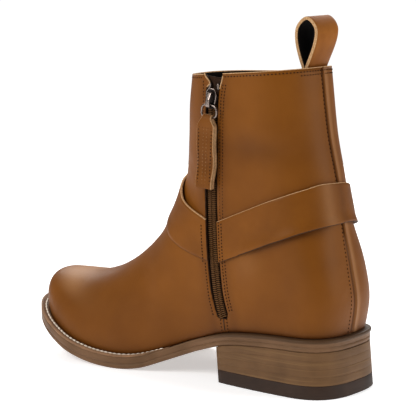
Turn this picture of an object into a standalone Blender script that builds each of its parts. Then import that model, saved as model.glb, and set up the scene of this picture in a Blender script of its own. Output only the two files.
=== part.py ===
"""A right-foot leather ankle boot with an inside zip, an ankle strap, a pull loop and a stacked heel.

Metres, +Z up. The toe points along -Y and the inner side of the foot is +X.
The origin is on the floor, at the middle of the heel's flat bottom face.
"""

from math import acos, cos, pi, sin

import bmesh
import bpy
from mathutils import Matrix, Vector

# Last: the form that the upper is pulled over.
LAST_LENGTH = 0.247
BALL_WIDTH = 0.087
VAMP_HEIGHT = 0.088
SHAFT_HEIGHT = 0.171
ANKLE_WIDTH = 0.068
COLLAR_WIDTH = 0.075
TOE_ROUND_LENGTH = 0.043
HEEL_ROUND_LENGTH = 0.0285
SHAFT_ROUND_LENGTH = 0.037
TOE_SWING = 0.0024
TUCK_HEIGHT = 0.020
COLLAR_OUTER_RISE = -0.003

# Leather, and the gaps that flat and curved neighbours keep.
UPPER_WALL = 0.002
STRAP_WALL = 0.0018
FIT_GAP = 0.0003
CURVE_GAP = 0.0005

# Sole unit and heel.
OUTSOLE_THICKNESS = 0.0035
MIDSOLE_THICKNESS = 0.0048
RAND_THICKNESS = 0.0028
RAND_LIP = 0.0007
WELT_THICKNESS = 0.0018
WELT_START = 0.46
INSOLE_THICKNESS = 0.0020
INSOLE_INSET = 0.0058
HEEL_HEIGHT = 0.0305
TOE_SPRING = 0.0240
TOP_PIECE_THICKNESS = 0.0090
LIFT_COUNT = 4
HEEL_LENGTH = 0.088
HEEL_BREAST_HOLLOW = 0.005
HEEL_UNDERCUT = 0.0020
HEEL_FLARE = 0.0025
HEEL_INSET = 0.0004
TOE_EXTENSION = 0.0065
BALL_EXTENSION = 0.0060
WAIST_EXTENSION = 0.0030
SEAT_EXTENSION = 0.0036
OUTSOLE_INSET = 0.0006

# Strap round the ankle.
STRAP_WIDTH = 0.0262
STRAP_STAND_OFF = 0.0035

# Zip on the inner side.
ZIP_SLOT_WIDTH = 0.0095
ZIP_MOUTH_WIDTH = 0.0125
TAPE_WIDTH = 0.0210
TAPE_THICKNESS = 0.0008
CHAIN_WIDTH = 0.0056
CHAIN_THICKNESS = 0.0016
SLIDER_DROP = 0.0175
SLIDER_LENGTH = 0.0115
SLIDER_WIDTH = 0.0080
SLIDER_THICKNESS = 0.0022
BRIDGE_LENGTH = 0.0080
BRIDGE_WIDTH = 0.0030
BRIDGE_HEIGHT = 0.0040
BRIDGE_WALL = 0.0009
RING_WIRE = 0.0013
RING_WIDTH = 0.0135
RING_LENGTH = 0.0120
TAB_WIDTH = 0.0135
TAB_NECK_WIDTH = 0.0070
TAB_LENGTH = 0.0470
TAB_THICKNESS = 0.0042
STOP_SIZE = 0.0026

# Pull loop at the back of the collar.
LOOP_WIDTH = 0.0220
LOOP_WALL = 0.0021
LOOP_HEIGHT = 0.0327
LOOP_SPREAD = 0.0190
LOOP_TUCK = 0.0120

# How finely the surfaces are divided.
UPPER_ROWS = 40
UPPER_COLUMNS = 14
SOLE_STEPS = 30
STRAP_STEPS = 46
LOOP_STEPS = 30
LIFT_STEPS = 14
WAIST_CROWDING = 0.055

# Plan of the last, heel to toe. Along is a share of LAST_LENGTH. The widths are shares of BALL_WIDTH before
# the ends are rounded: the feather line at the sole, and how far the wall swells out past it.
PLAN = (
    {"name": "heel back", "along": 0.00, "inner": 0.374, "outer": 0.374, "swell_in": 0.020, "swell_out": 0.020},
    {"name": "heel seat", "along": 0.16, "inner": 0.371, "outer": 0.371, "swell_in": 0.024, "swell_out": 0.024},
    {"name": "breast", "along": 0.30, "inner": 0.350, "outer": 0.372, "swell_in": 0.040, "swell_out": 0.030},
    {"name": "waist", "along": 0.43, "inner": 0.307, "outer": 0.395, "swell_in": 0.070, "swell_out": 0.030},
    {"name": "joint back", "along": 0.56, "inner": 0.370, "outer": 0.455, "swell_in": 0.050, "swell_out": 0.030},
    {"name": "ball", "along": 0.69, "inner": 0.436, "outer": 0.500, "swell_in": 0.028, "swell_out": 0.028},
    {"name": "toe base", "along": 0.80, "inner": 0.430, "outer": 0.480, "swell_in": 0.022, "swell_out": 0.022},
    {"name": "toe side", "along": 0.90, "inner": 0.385, "outer": 0.430, "swell_in": 0.016, "swell_out": 0.016},
    {"name": "toe", "along": 1.00, "inner": 0.350, "outer": 0.370, "swell_in": 0.010, "swell_out": 0.010},
)

# Height of the outsole's underside along the foot. Rise is a share of HEEL_HEIGHT.
ARCH_LINE = (
    {"name": "heel back", "along": 0.00, "rise": 1.000},
    {"name": "heel seat", "along": 0.16, "rise": 0.975},
    {"name": "breast", "along": 0.29, "rise": 0.885},
    {"name": "shank", "along": 0.42, "rise": 0.590},
    {"name": "joint back", "along": 0.54, "rise": 0.210},
    {"name": "ball back", "along": 0.62, "rise": 0.000},
    {"name": "ball front", "along": 0.70, "rise": 0.000},
)
SPRING_START = 0.70
SPRING_POWER = 1.7

# How square the toe, the heel and the back of the shaft are rounded. 2 is an ellipse.
TOE_POWER = 2.3
HEEL_POWER = 3.0
SHAFT_POWER = 2.1

# How far the sole's edge stands outside the feather line, heel to toe.
EXTENSION = (
    {"name": "seat", "along": 0.00, "out": SEAT_EXTENSION},
    {"name": "breast", "along": 0.27, "out": SEAT_EXTENSION},
    {"name": "waist", "along": 0.40, "out": WAIST_EXTENSION},
    {"name": "ball", "along": 0.58, "out": BALL_EXTENSION},
    {"name": "toe", "along": 1.00, "out": TOE_EXTENSION},
)

# Foot sections, toe to instep: where each starts on the ridge and where it ends on the feather line.
# Lift is a share of VAMP_HEIGHT above the feather line. Crown is the share of the section that is rounded
# over the ridge, and power is how square that rounding is.
FOOT_SECTIONS = (
    {"name": "toe tip", "front": 1.000, "lift": 0.000, "sole": 1.000, "crown": 1.00, "power": 2.2},
    {"name": "toe wall low", "front": 1.006, "lift": 0.112, "sole": 0.992, "crown": 1.00, "power": 2.2},
    {"name": "toe wall", "front": 1.003, "lift": 0.196, "sole": 0.978, "crown": 1.00, "power": 2.2},
    {"name": "toe shoulder", "front": 0.987, "lift": 0.275, "sole": 0.958, "crown": 1.00, "power": 2.2},
    {"name": "toe crest", "front": 0.956, "lift": 0.350, "sole": 0.932, "crown": 1.00, "power": 2.2},
    {"name": "toe box", "front": 0.909, "lift": 0.415, "sole": 0.890, "crown": 1.00, "power": 2.2},
    {"name": "toe back", "front": 0.848, "lift": 0.485, "sole": 0.830, "crown": 1.00, "power": 2.2},
    {"name": "ball", "front": 0.772, "lift": 0.595, "sole": 0.750, "crown": 1.00, "power": 2.1},
    {"name": "vamp", "front": 0.706, "lift": 0.710, "sole": 0.660, "crown": 1.00, "power": 2.0},
    {"name": "joint", "front": 0.648, "lift": 0.838, "sole": 0.560, "crown": 0.95, "power": 2.0},
    {"name": "instep", "front": 0.603, "lift": 0.958, "sole": 0.450, "crown": 0.70, "power": 2.0},
)

# Sections from the instep to the collar. Front and back are shares of LAST_LENGTH from the heel point, the
# rises are shares of SHAFT_HEIGHT above the heel seat, and a row with a sole value ends on the feather line.
SHAFT_SECTIONS = (
    {"name": "throat", "front": 0.563, "front_rise": 0.405, "sole": 0.330, "crown": 0.48, "power": 2.0},
    {"name": "ankle fold", "front": 0.533, "front_rise": 0.466, "sole": 0.200, "crown": 0.38, "power": 2.0},
    {"name": "heel seat", "front": 0.514, "front_rise": 0.515, "sole": 0.085, "crown": 0.33, "power": 2.0},
    {"name": "heel corner", "front": 0.503, "front_rise": 0.555, "sole": 0.000, "crown": 0.32, "power": 2.1},
    {"name": "counter", "front": 0.497, "front_rise": 0.592, "back": -0.0105, "back_rise": 0.120, "crown": 0.32,
     "power": 2.1},
    {"name": "heel curve", "front": 0.494, "front_rise": 0.633, "back": 0.004, "back_rise": 0.250, "crown": 0.32,
     "power": 2.1},
    {"name": "tendon", "front": 0.491, "front_rise": 0.683, "back": 0.028, "back_rise": 0.400, "crown": 0.32,
     "power": 2.1},
    {"name": "ankle", "front": 0.489, "front_rise": 0.754, "back": 0.048, "back_rise": 0.570, "crown": 0.34,
     "power": 2.1},
    {"name": "shaft", "front": 0.487, "front_rise": 0.838, "back": 0.077, "back_rise": 0.755, "crown": 0.36,
     "power": 2.1},
    {"name": "collar", "front": 0.478, "front_rise": 0.958, "back": 0.101, "back_rise": 1.005, "crown": 0.38,
     "power": 2.1},
)

# Heights at which the foot's width and heel rounding turn into the shaft's, as shares of SHAFT_HEIGHT above the heel seat.
FOOT_TOP_RISE = 0.16
HEEL_ROUND_TOP = 0.20
ANKLE_RISE = 0.50

# The zip's middle line on the inner side, foot to collar.
ZIP_LINE = (
    {"name": "foot", "rise": 0.030, "along": 0.317},
    {"name": "bend", "rise": 0.14, "along": 0.338},
    {"name": "strap", "rise": 0.33, "along": 0.351},
    {"name": "ankle", "rise": 0.53, "along": 0.355},
    {"name": "shaft", "rise": 0.70, "along": 0.351},
    {"name": "slider", "rise": 0.87, "along": 0.343},
    {"name": "collar", "rise": 1.00, "along": 0.336},
)

# The strap's middle line. Lap runs from the front ridge (0) back along the inner side, through the heel
# line (1) and the outer side to the front ridge again (2). Off is a share of STRAP_STAND_OFF.
STRAP_LINE = (
    {"name": "zip rear", "lap": 0.40, "rise": 0.325, "off": 0.0},
    {"name": "inner side", "lap": 0.56, "rise": 0.400, "off": 0.0},
    {"name": "inner heel", "lap": 0.76, "rise": 0.468, "off": 0.0},
    {"name": "back", "lap": 1.00, "rise": 0.500, "off": 0.0},
    {"name": "outer heel", "lap": 1.25, "rise": 0.462, "off": 0.0},
    {"name": "outer side", "lap": 1.55, "rise": 0.400, "off": 0.0},
    {"name": "outer front", "lap": 1.80, "rise": 0.435, "off": 0.3},
    {"name": "front", "lap": 2.00, "rise": 0.488, "off": 0.5},
    {"name": "inner front", "lap": 2.20, "rise": 0.440, "off": 0.8},
    {"name": "inner fold", "lap": 2.31, "rise": 0.380, "off": 0.7},
    {"name": "zip front", "lap": 2.42, "rise": 0.325, "off": 0.2},
)

SOLE_TOP = OUTSOLE_THICKNESS + MIDSOLE_THICKNESS
SEAT_HEIGHT = HEEL_HEIGHT + SOLE_TOP
BREAST = HEEL_LENGTH - SEAT_EXTENSION
HEEL_MIDDLE = (BREAST - HEEL_UNDERCUT - SEAT_EXTENSION - HEEL_FLARE) / 2


def clear_scene():
    for item in list(bpy.data.objects):
        bpy.data.objects.remove(item, do_unlink=True)


def new_collection(name):
    collection = bpy.data.collections.new(name)
    bpy.context.scene.collection.children.link(collection)
    return collection


def finish(name, colour, roughness, metallic=0.0):
    material = bpy.data.materials.new(name)
    material.use_nodes = True
    shader = material.node_tree.nodes["Principled BSDF"]
    shader.inputs["Base Color"].default_value = (*colour, 1.0)
    shader.inputs["Roughness"].default_value = roughness
    shader.inputs["Metallic"].default_value = metallic
    return material


def track(points):
    """A smooth curve through (position, value) pairs that never overshoots a row."""
    at = [p[0] for p in points]
    value = [p[1] for p in points]
    step = [at[i + 1] - at[i] for i in range(len(at) - 1)]
    rate = [(value[i + 1] - value[i]) / step[i] for i in range(len(step))]
    slope = [rate[0]]
    for i in range(1, len(rate)):
        before, after = rate[i - 1], rate[i]
        if before * after <= 0:
            slope.append(0.0)
        else:
            heavy = 2 * step[i] + step[i - 1]
            light = step[i] + 2 * step[i - 1]
            slope.append((heavy + light) / (heavy / before + light / after))
    slope.append(rate[-1])

    def read(position):
        position = min(max(position, at[0]), at[-1])
        i = max(k for k in range(len(step)) if at[k] <= position)
        t = (position - at[i]) / step[i]
        return (
            value[i] * (2 * t**3 - 3 * t**2 + 1)
            + slope[i] * step[i] * (t**3 - 2 * t**2 + t)
            + value[i + 1] * (3 * t**2 - 2 * t**3)
            + slope[i + 1] * step[i] * (t**3 - t**2)
        )

    return read


def column(rows, key, position="along"):
    return track([(row[position], row[key]) for row in rows])


def blend(low, high, value):
    """0 below low, 1 above high, and smooth between."""
    t = min(max((value - low) / (high - low), 0.0), 1.0)
    return t * t * (3 - 2 * t)


def rounding(depth, length, power):
    """Share of the full width at a depth inside a rounded end of that length."""
    if depth >= length:
        return 1.0
    left = 1 - max(depth, 0.0) / length
    return max(1 - left**power, 0.0) ** (1 / power)


# Plan and side profile of the last.
plan_inner = column(PLAN, "inner")
plan_outer = column(PLAN, "outer")
swell_inner = column(PLAN, "swell_in")
swell_outer = column(PLAN, "swell_out")
arch_rise = column(ARCH_LINE, "rise")
edge_out = column(EXTENSION, "out")
zip_along = column(ZIP_LINE, "along", "rise")
strap_rise = column(STRAP_LINE, "rise", "lap")
strap_off = column(STRAP_LINE, "off", "lap")


def sole_base(along):
    """Height of the outsole's underside."""
    share = along / LAST_LENGTH
    spring = max(share - SPRING_START, 0.0) / (1 - SPRING_START)
    return HEEL_HEIGHT * arch_rise(share) + TOE_SPRING * spring**SPRING_POWER


def feather(along):
    """Height of the line where the upper meets the sole."""
    return sole_base(along) + SOLE_TOP


def middle(along):
    """Sideways place of the foot's middle line, which swings inwards at the toe."""
    return TOE_SWING * blend(0.55, 1.0, along / LAST_LENGTH)


def place(along, across, height):
    """A point from its distance in front of the heel point, towards the inner side, and above the floor."""
    return Vector((across, HEEL_MIDDLE - along, height))


def section_tables():
    rows = []
    for row in FOOT_SECTIONS + SHAFT_SECTIONS:
        front = row["front"] * LAST_LENGTH
        if "lift" in row:
            front_height = feather(front) + row["lift"] * VAMP_HEIGHT
        else:
            front_height = SEAT_HEIGHT + row["front_rise"] * SHAFT_HEIGHT
        if "sole" in row:
            end = row["sole"] * LAST_LENGTH
            end_height = feather(end)
        else:
            end = row["back"] * LAST_LENGTH
            end_height = SEAT_HEIGHT + row["back_rise"] * SHAFT_HEIGHT
        toe_depth = LAST_LENGTH - row.get("sole", 0.0) * LAST_LENGTH
        rows.append({
            "front": front, "front_height": front_height, "end": end, "end_height": end_height,
            "toe": toe_depth, "crown": row["crown"], "power": row["power"],
        })
    return {key: track([(i, row[key]) for i, row in enumerate(rows)]) for key in rows[0]}


section = section_tables()
LAST_SECTION = len(FOOT_SECTIONS) + len(SHAFT_SECTIONS) - 1
HEEL_CORNER = len(FOOT_SECTIONS) + 3
back_along = track(
    [(SEAT_HEIGHT, 0.0)]
    + [
        (SEAT_HEIGHT + row["back_rise"] * SHAFT_HEIGHT, row["back"] * LAST_LENGTH)
        for row in SHAFT_SECTIONS
        if "back" in row
    ]
)


def side_width(along, height, inner):
    """Half width of the last before its ends are rounded."""
    share = along / LAST_LENGTH
    plan = plan_inner(share) if inner else plan_outer(share)
    swell = swell_inner(share) if inner else swell_outer(share)
    tuck = rounding(height - feather(along), TUCK_HEIGHT, 2.0)
    foot = BALL_WIDTH * (plan + swell * tuck)
    rise = (height - SEAT_HEIGHT) / SHAFT_HEIGHT
    shaft = ANKLE_WIDTH + (COLLAR_WIDTH - ANKLE_WIDTH) * blend(ANKLE_RISE, 1.0, rise)
    share_up = blend(FOOT_TOP_RISE, ANKLE_RISE, rise)
    return foot * (1 - share_up) + shaft / 2 * share_up


def back_rounding(depth, height):
    """Share of the width at a depth in front of the back profile, squarer at the heel than up the shaft."""
    up = blend(HEEL_ROUND_TOP, ANKLE_RISE, (height - SEAT_HEIGHT) / SHAFT_HEIGHT)
    length = HEEL_ROUND_LENGTH + (SHAFT_ROUND_LENGTH - HEEL_ROUND_LENGTH) * up
    return rounding(depth, length, HEEL_POWER + (SHAFT_POWER - HEEL_POWER) * up)


def section_ends(at_section):
    """A section's two ends in the side view: on the ridge, and on the feather line or the back profile."""
    front = Vector((section["front"](at_section), section["front_height"](at_section)))
    if at_section <= HEEL_CORNER:
        along = section["end"](at_section)
        return front, Vector((along, feather(along)))
    height = section["end_height"](at_section)
    return front, Vector((back_along(height), height))


def skin(at_section, turn):
    """A point on the outside of the upper. Turn is 0 on the ridge, and 1 or -1 at a section's two ends."""
    front, end = section_ends(at_section)
    reach = (1 - cos(pi * abs(turn))) / 2
    at = front.lerp(end, reach)
    length = (end - front).length
    width = side_width(at.x, at.y, turn > 0)
    if length > 0:
        width *= rounding(reach * length, section["crown"](at_section) * length, section["power"](at_section))
    width *= rounding(section["toe"](at_section), TOE_ROUND_LENGTH, TOE_POWER)
    width *= back_rounding(at.x - back_along(at.y), at.y)
    side = 1 if turn > 0 else -1
    up = at.y
    if side < 0:
        up += COLLAR_OUTER_RISE * sin(pi * reach) * blend(HEEL_CORNER + 2, LAST_SECTION, at_section)
    return place(at.x, middle(at.x) + side * width, up)


def section_at(along, height):
    """The section whose straight line in the side view passes through a point, and the turn there."""

    def miss(at_section):
        front, end = section_ends(at_section)
        line = end - front
        offset = Vector((along, height)) - front
        return line.x * offset.y - line.y * offset.x, offset.dot(line) / line.length_squared

    low, high = 1.0, float(LAST_SECTION)
    sign = miss(high)[0] > 0
    for _ in range(40):
        half = (low + high) / 2
        if (miss(half)[0] > 0) == sign:
            high = half
        else:
            low = half
    reach = min(max(miss(high)[1], 0.0), 1.0)
    return high, acos(1 - 2 * reach) / pi


def section_at_height(turn, height):
    """The section whose point at a turn has a height."""
    low, high = float(len(FOOT_SECTIONS) - 3), float(LAST_SECTION)
    for _ in range(40):
        half = (low + high) / 2
        if skin(half, turn).z < height:
            low = half
        else:
            high = half
    return high


def normal_at(at_section, turn):
    """The way out of the upper's surface."""
    step = 0.02
    near = min(max(at_section, step), LAST_SECTION - step)
    up = skin(near + step, turn) - skin(near - step, turn)
    round_way = skin(near, min(turn + step, 1.0)) - skin(near, max(turn - step, -1.0))
    out = round_way.cross(up)
    away = skin(near, turn) - place(back_along(0.6 * SHAFT_HEIGHT) + 0.05, 0.0, skin(near, turn).z)
    if out.dot(away) < 0:
        out.negate()
    return out.normalized()


def collar_height(along):
    """Height of the collar's inner side above a place along the foot."""
    front, end = section["front"](LAST_SECTION), section["end"](LAST_SECTION)
    low, high = section["front_height"](LAST_SECTION), section["end_height"](LAST_SECTION)
    share = (front - along) / (front - end)
    return low + (high - low) * min(max(share, 0.0), 1.0)


def wall_point(along, height, out):
    """A point on the inner side's wall, moved out of it by a distance. Above the collar it goes straight up."""
    top = collar_height(along) - 0.0005
    at_section, turn = section_at(along, min(height, top))
    base = skin(at_section, turn)
    return base + normal_at(at_section, turn) * out + Vector((0.0, 0.0, max(height - top, 0.0)))


def zip_point(rise, sideways, out):
    """A point by the zip: its rise, its distance towards the heel from the middle line, and out of the wall."""
    height = SEAT_HEIGHT + SHAFT_HEIGHT * rise
    along = zip_along(rise) * LAST_LENGTH
    step = 0.01
    lean = (zip_along(rise + step) - zip_along(rise - step)) * LAST_LENGTH / (2 * step * SHAFT_HEIGHT)
    across = Vector((-1.0, lean)).normalized() * sideways
    return wall_point(along + across.x, height + across.y, out)


def zip_half_width(rise):
    """Half of the slot's width, which opens into a notch above the slider and closes at its foot."""
    slider_rise = COLLAR_RISE - SLIDER_DROP / SHAFT_HEIGHT
    half = ZIP_SLOT_WIDTH / 2
    half += (ZIP_MOUTH_WIDTH - ZIP_SLOT_WIDTH) / 2 * blend(slider_rise, COLLAR_RISE, rise)
    return half * rounding((rise - ZIP_FOOT) * SHAFT_HEIGHT + 0.0002, ZIP_SLOT_WIDTH, 2.0)


ZIP_FOOT = ZIP_LINE[0]["rise"]
COLLAR_RISE = (collar_height(ZIP_LINE[-1]["along"] * LAST_LENGTH) - SEAT_HEIGHT) / SHAFT_HEIGHT


def link(name, mesh_data, material, collection):
    item = bpy.data.objects.new(name, mesh_data)
    item.data.materials.append(material)
    collection.objects.link(item)
    return item


def slab(name, steps, across, levels, where, material, collection):
    """A closed sheet: a grid pushed through its thickness, with each corner set by where(u, v, level)."""
    build = bmesh.new()
    bmesh.ops.create_grid(build, x_segments=steps, y_segments=across, size=1.0)
    for level in range(1, levels):
        top = [face for face in build.faces if all(v.co.z > level - 1.5 for v in face.verts)]
        pushed = bmesh.ops.extrude_face_region(build, geom=top)
        moved = [part for part in pushed["geom"] if isinstance(part, bmesh.types.BMVert)]
        bmesh.ops.translate(build, verts=moved, vec=(0.0, 0.0, 1.0))
        if level > 1:
            inside = [face for face in top if face.is_valid]
            bmesh.ops.delete(build, geom=inside, context="FACES_ONLY")
    for vert in build.verts:
        vert.co = where((vert.co.x + 1) / 2, vert.co.y, round(vert.co.z))
    bmesh.ops.remove_doubles(build, verts=build.verts, dist=0.00001)
    bmesh.ops.recalc_face_normals(build, faces=build.faces)
    mesh_data = bpy.data.meshes.new(name)
    build.to_mesh(mesh_data)
    build.free()
    return link(name, mesh_data, material, collection)


def cut(item, cutter, operation="DIFFERENCE"):
    change = item.modifiers.new(f"{operation.lower()} {cutter.name}", "BOOLEAN")
    change.operation = operation
    change.object = cutter
    change.solver = "EXACT"


def make_guide(item):
    item.hide_render = True
    item.display_type = "WIRE"


def make_upper(parts, cutters):
    build = bmesh.new()
    bmesh.ops.create_grid(build, x_segments=UPPER_ROWS, y_segments=2 * UPPER_COLUMNS, size=1.0)
    for vert in build.verts:
        vert.co = skin((vert.co.x + 1) / 2 * LAST_SECTION, vert.co.y)
    for vert in build.verts:
        along = HEEL_MIDDLE - vert.co.y
        vert.co.z = max(vert.co.z, feather(along) + FIT_GAP)
    bmesh.ops.remove_doubles(build, verts=build.verts, dist=0.00005)
    bmesh.ops.recalc_face_normals(build, faces=build.faces)
    inner_faces = [face for face in build.faces if face.calc_center_median().x > BALL_WIDTH / 4]
    if sum(face.normal.x for face in inner_faces) < 0:
        bmesh.ops.reverse_faces(build, faces=build.faces)
    mesh_data = bpy.data.meshes.new("upper")
    build.to_mesh(mesh_data)
    build.free()
    mesh_data.shade_smooth()
    upper = link("upper", mesh_data, finish("upper leather", (0.24, 0.09, 0.03), 0.45), parts)
    wall = upper.modifiers.new("wall", "SOLIDIFY")
    wall.thickness = UPPER_WALL
    wall.offset = -1.0
    wall.use_even_offset = True

    def slot_corner(u, v, level):
        rise = ZIP_FOOT + (COLLAR_RISE + 0.06 - ZIP_FOOT) * u
        depth = 3 * UPPER_WALL
        return zip_point(rise, -v * zip_half_width(rise), (2 * level - 1) * depth)

    slot = slab("zip slot cutter", 22, 2, 2, slot_corner, finish("cutter", (0.5, 0.5, 0.5), 0.5), cutters)
    make_guide(slot)
    cut(upper, slot)


def outline(turn):
    """The feather line in plan. Turn is 0 at the heel point and pi or -pi at the toe, + on the inner side."""
    along = LAST_LENGTH * (1 - cos(turn)) / 2
    share = along / LAST_LENGTH
    inner = sin(turn) >= 0
    half = BALL_WIDTH * (plan_inner(share) if inner else plan_outer(share))
    half *= rounding(LAST_LENGTH - along, TOE_ROUND_LENGTH, TOE_POWER)
    half *= rounding(along, HEEL_ROUND_LENGTH, HEEL_POWER)
    return Vector((along, middle(along) + (half if inner else -half)))


def edge(turn, out):
    """The feather line moved outwards by a distance."""
    step = 0.02
    way = outline(turn + step) - outline(turn - step)
    away = Vector((-way.y, way.x)).normalized()
    return outline(turn) + away * out


def sole_corner(u, v, out, height):
    """A point of a sole layer: u runs heel to toe and v from the outer edge to the inner edge."""
    turn = pi * (u + WAIST_CROWDING * sin(2 * pi * u))
    rim_inner, rim_outer = edge(turn, out(turn)), edge(-turn, out(turn))
    at = rim_outer.lerp(rim_inner, (v + 1) / 2)
    return place(at.x, at.y, height(at.x))


def welt_root(along, inner):
    """How far the welt starts outside the feather line, to clear the swell of the upper's wall."""
    swell = (swell_inner if inner else swell_outer)(along / LAST_LENGTH)
    return BALL_WIDTH * swell * rounding(WELT_THICKNESS + FIT_GAP, TUCK_HEIGHT, 2.0) + CURVE_GAP


def sole_out(turn):
    return edge_out((1 - cos(turn)) / 2)


def make_sole(parts):
    def outsole_corner(u, v, level):
        return sole_corner(
            u, v, lambda turn: sole_out(turn) - OUTSOLE_INSET,
            lambda along: sole_base(along) + level * (OUTSOLE_THICKNESS - FIT_GAP),
        )

    slab("outsole", SOLE_STEPS, 4, 2, outsole_corner, finish("outsole", (0.16, 0.09, 0.05), 0.6), parts)

    def midsole_corner(u, v, level):
        lip_height = MIDSOLE_THICKNESS - RAND_THICKNESS
        up = (0.0, lip_height, lip_height, MIDSOLE_THICKNESS)[level]
        lip = RAND_LIP if level > 1 else 0.0
        return sole_corner(
            u, v, lambda turn: sole_out(turn) + lip * blend(0.42, 0.36, (1 - cos(turn)) / 2),
            lambda along: sole_base(along) + OUTSOLE_THICKNESS + up,
        )

    slab("midsole", SOLE_STEPS, 4, 4, midsole_corner, finish("midsole", (0.16, 0.10, 0.06), 0.6), parts)

    def insole_corner(u, v, level):
        return sole_corner(
            u, v, lambda turn: -INSOLE_INSET,
            lambda along: feather(along) + CURVE_GAP + level * INSOLE_THICKNESS,
        )

    slab("insole", SOLE_STEPS, 4, 2, insole_corner, finish("insole", (0.10, 0.07, 0.05), 0.8), parts)

    def welt_corner(u, v, level):
        start = acos(1 - 2 * WELT_START)
        turn = start + (2 * pi - 2 * start) * u
        fade = blend(0.0, 0.06, min(u, 1 - u))
        root = welt_root(outline(turn).x, turn < pi)
        out = root + (sole_out(turn) - root) * (v + 1) / 2 * (0.35 + 0.65 * fade)
        at = edge(turn, out)
        up = FIT_GAP + level * (WELT_THICKNESS * (0.3 + 0.7 * fade))
        return place(at.x, at.y, feather(at.x) + up)

    slab("welt", 2 * SOLE_STEPS - 14, 2, 2, welt_corner, finish("welt", (0.27, 0.15, 0.09), 0.6), parts)


def heel_corner(u, v, height_at):
    """A point of a heel layer: u runs from the heel's back to its breast."""
    turn = acos(1 - 2 * BREAST / LAST_LENGTH) * u
    flat = edge(turn, 0.0).x
    down = 1 - height_at(flat) / sole_base(flat)
    out = SEAT_EXTENSION - HEEL_INSET + HEEL_FLARE * down * (1 - u**2)
    at = edge(-turn, out).lerp(edge(turn, out), (v + 1) / 2)
    back_off = (HEEL_BREAST_HOLLOW * (1 - v * v) + HEEL_UNDERCUT * down) * u**3
    return place(at.x - back_off, at.y, height_at(at.x - back_off))


def lift_height(index, along):
    """Height of the joint below a lift, counted from the top piece up."""
    return TOP_PIECE_THICKNESS + (sole_base(along) - TOP_PIECE_THICKNESS) * index / LIFT_COUNT


def make_heel(parts):
    for index in range(LIFT_COUNT):

        def lift_corner(u, v, level, index=index):
            return heel_corner(u, v, lambda along: lift_height(index + level, along) - level * FIT_GAP)

        number = LIFT_COUNT - index
        slab(f"heel_lift_{number}", LIFT_STEPS, 4, 2, lift_corner, finish(f"heel lift {number}", (0.17, 0.11, 0.07), 0.6),
             parts)

    def top_piece_corner(u, v, level):
        return heel_corner(u, v, lambda along: level * (TOP_PIECE_THICKNESS - FIT_GAP))

    slab("heel_top_piece", LIFT_STEPS, 4, 2, top_piece_corner, finish("heel rubber", (0.05, 0.03, 0.02), 0.7), parts)


def strap_edge_lap(height, rear):
    """The lap at which the strap stops beside the slot, on its rear or its front side."""
    rise = (height - SEAT_HEIGHT) / SHAFT_HEIGHT
    half = zip_half_width(rise) + CURVE_GAP
    along = zip_along(rise) * LAST_LENGTH + (-half if rear else half)
    return section_at(along, height)[1] + (0 if rear else 2)


def make_strap(parts):
    def strap_corner(u, v, level):
        lap = strap_edge_lap(SEAT_HEIGHT + SHAFT_HEIGHT * strap_rise(0.4), True)
        lap += (strap_edge_lap(SEAT_HEIGHT + SHAFT_HEIGHT * strap_rise(2.4), False) - lap) * u
        centre = SEAT_HEIGHT + SHAFT_HEIGHT * strap_rise(lap)
        height = centre + v * STRAP_WIDTH / 2
        first, last = strap_edge_lap(height, True), strap_edge_lap(height, False)
        lap = first + (last - first) * u
        turn = lap if lap <= 1 else lap - 2
        at_section = section_at_height(turn, height)
        base = skin(at_section, turn)
        out = normal_at(at_section, turn)
        top = skin(section_at_height(turn, centre + STRAP_WIDTH / 2), turn)
        low = skin(section_at_height(turn, centre - STRAP_WIDTH / 2), turn)
        bridge = max((low.lerp(top, (v + 1) / 2) - base).dot(out), 0.0)
        lift = CURVE_GAP + bridge + STRAP_STAND_OFF * strap_off(lap) * (v + 1) / 2
        return base + out * (lift + level * STRAP_WALL)

    slab("strap", STRAP_STEPS, 4, 2, strap_corner, finish("strap leather", (0.25, 0.10, 0.03), 0.45), parts)


def make_zip(parts, cutters):
    tape_depth = UPPER_WALL + CURVE_GAP
    tape_foot = ZIP_FOOT + 0.01
    slider_rise = COLLAR_RISE - SLIDER_DROP / SHAFT_HEIGHT

    def tape_corner(u, v, level):
        rise = tape_foot + (COLLAR_RISE - 0.012 - tape_foot) * u
        return zip_point(rise, -v * TAPE_WIDTH / 2, -tape_depth - (1 - level) * TAPE_THICKNESS)

    tape = slab("zip_tape", 20, 4, 2, tape_corner, finish("zip tape", (0.02, 0.012, 0.008), 0.9), parts)

    def notch_corner(u, v, level):
        rise = slider_rise + (COLLAR_RISE + 0.05 - slider_rise) * u
        half = (ZIP_MOUTH_WIDTH / 2 - STOP_SIZE * 0.6) * u
        return zip_point(rise, -v * (half + 0.0004), -tape_depth + (2 * level - 1) * 0.005)

    notch = slab("tape notch cutter", 4, 1, 2, notch_corner, finish("cutter", (0.5, 0.5, 0.5), 0.5), cutters)
    make_guide(notch)
    cut(tape, notch)

    def chain_corner(u, v, level):
        foot = ZIP_FOOT + 0.035
        rise = foot + (slider_rise - foot) * u
        return zip_point(rise, -v * CHAIN_WIDTH / 2, FIT_GAP - tape_depth + level * CHAIN_THICKNESS)

    slab("zip_chain", 20, 2, 2, chain_corner, finish("zip chain", (0.10, 0.06, 0.03), 0.4, 0.6), parts)


def frame_matrix(rise):
    """Axes on the wall by the zip: x towards the heel, y up the zip, z out of the wall."""
    here = zip_point(rise, 0.0, 0.0)
    up = (zip_point(rise + 0.03, 0.0, 0.0) - zip_point(rise - 0.03, 0.0, 0.0)).normalized()
    side = (zip_point(rise, 0.003, 0.0) - zip_point(rise, -0.003, 0.0)).normalized()
    out = side.cross(up).normalized()
    side = up.cross(out).normalized()
    turn = Matrix((side, up, out)).transposed().to_4x4()
    return Matrix.Translation(here) @ turn


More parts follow.
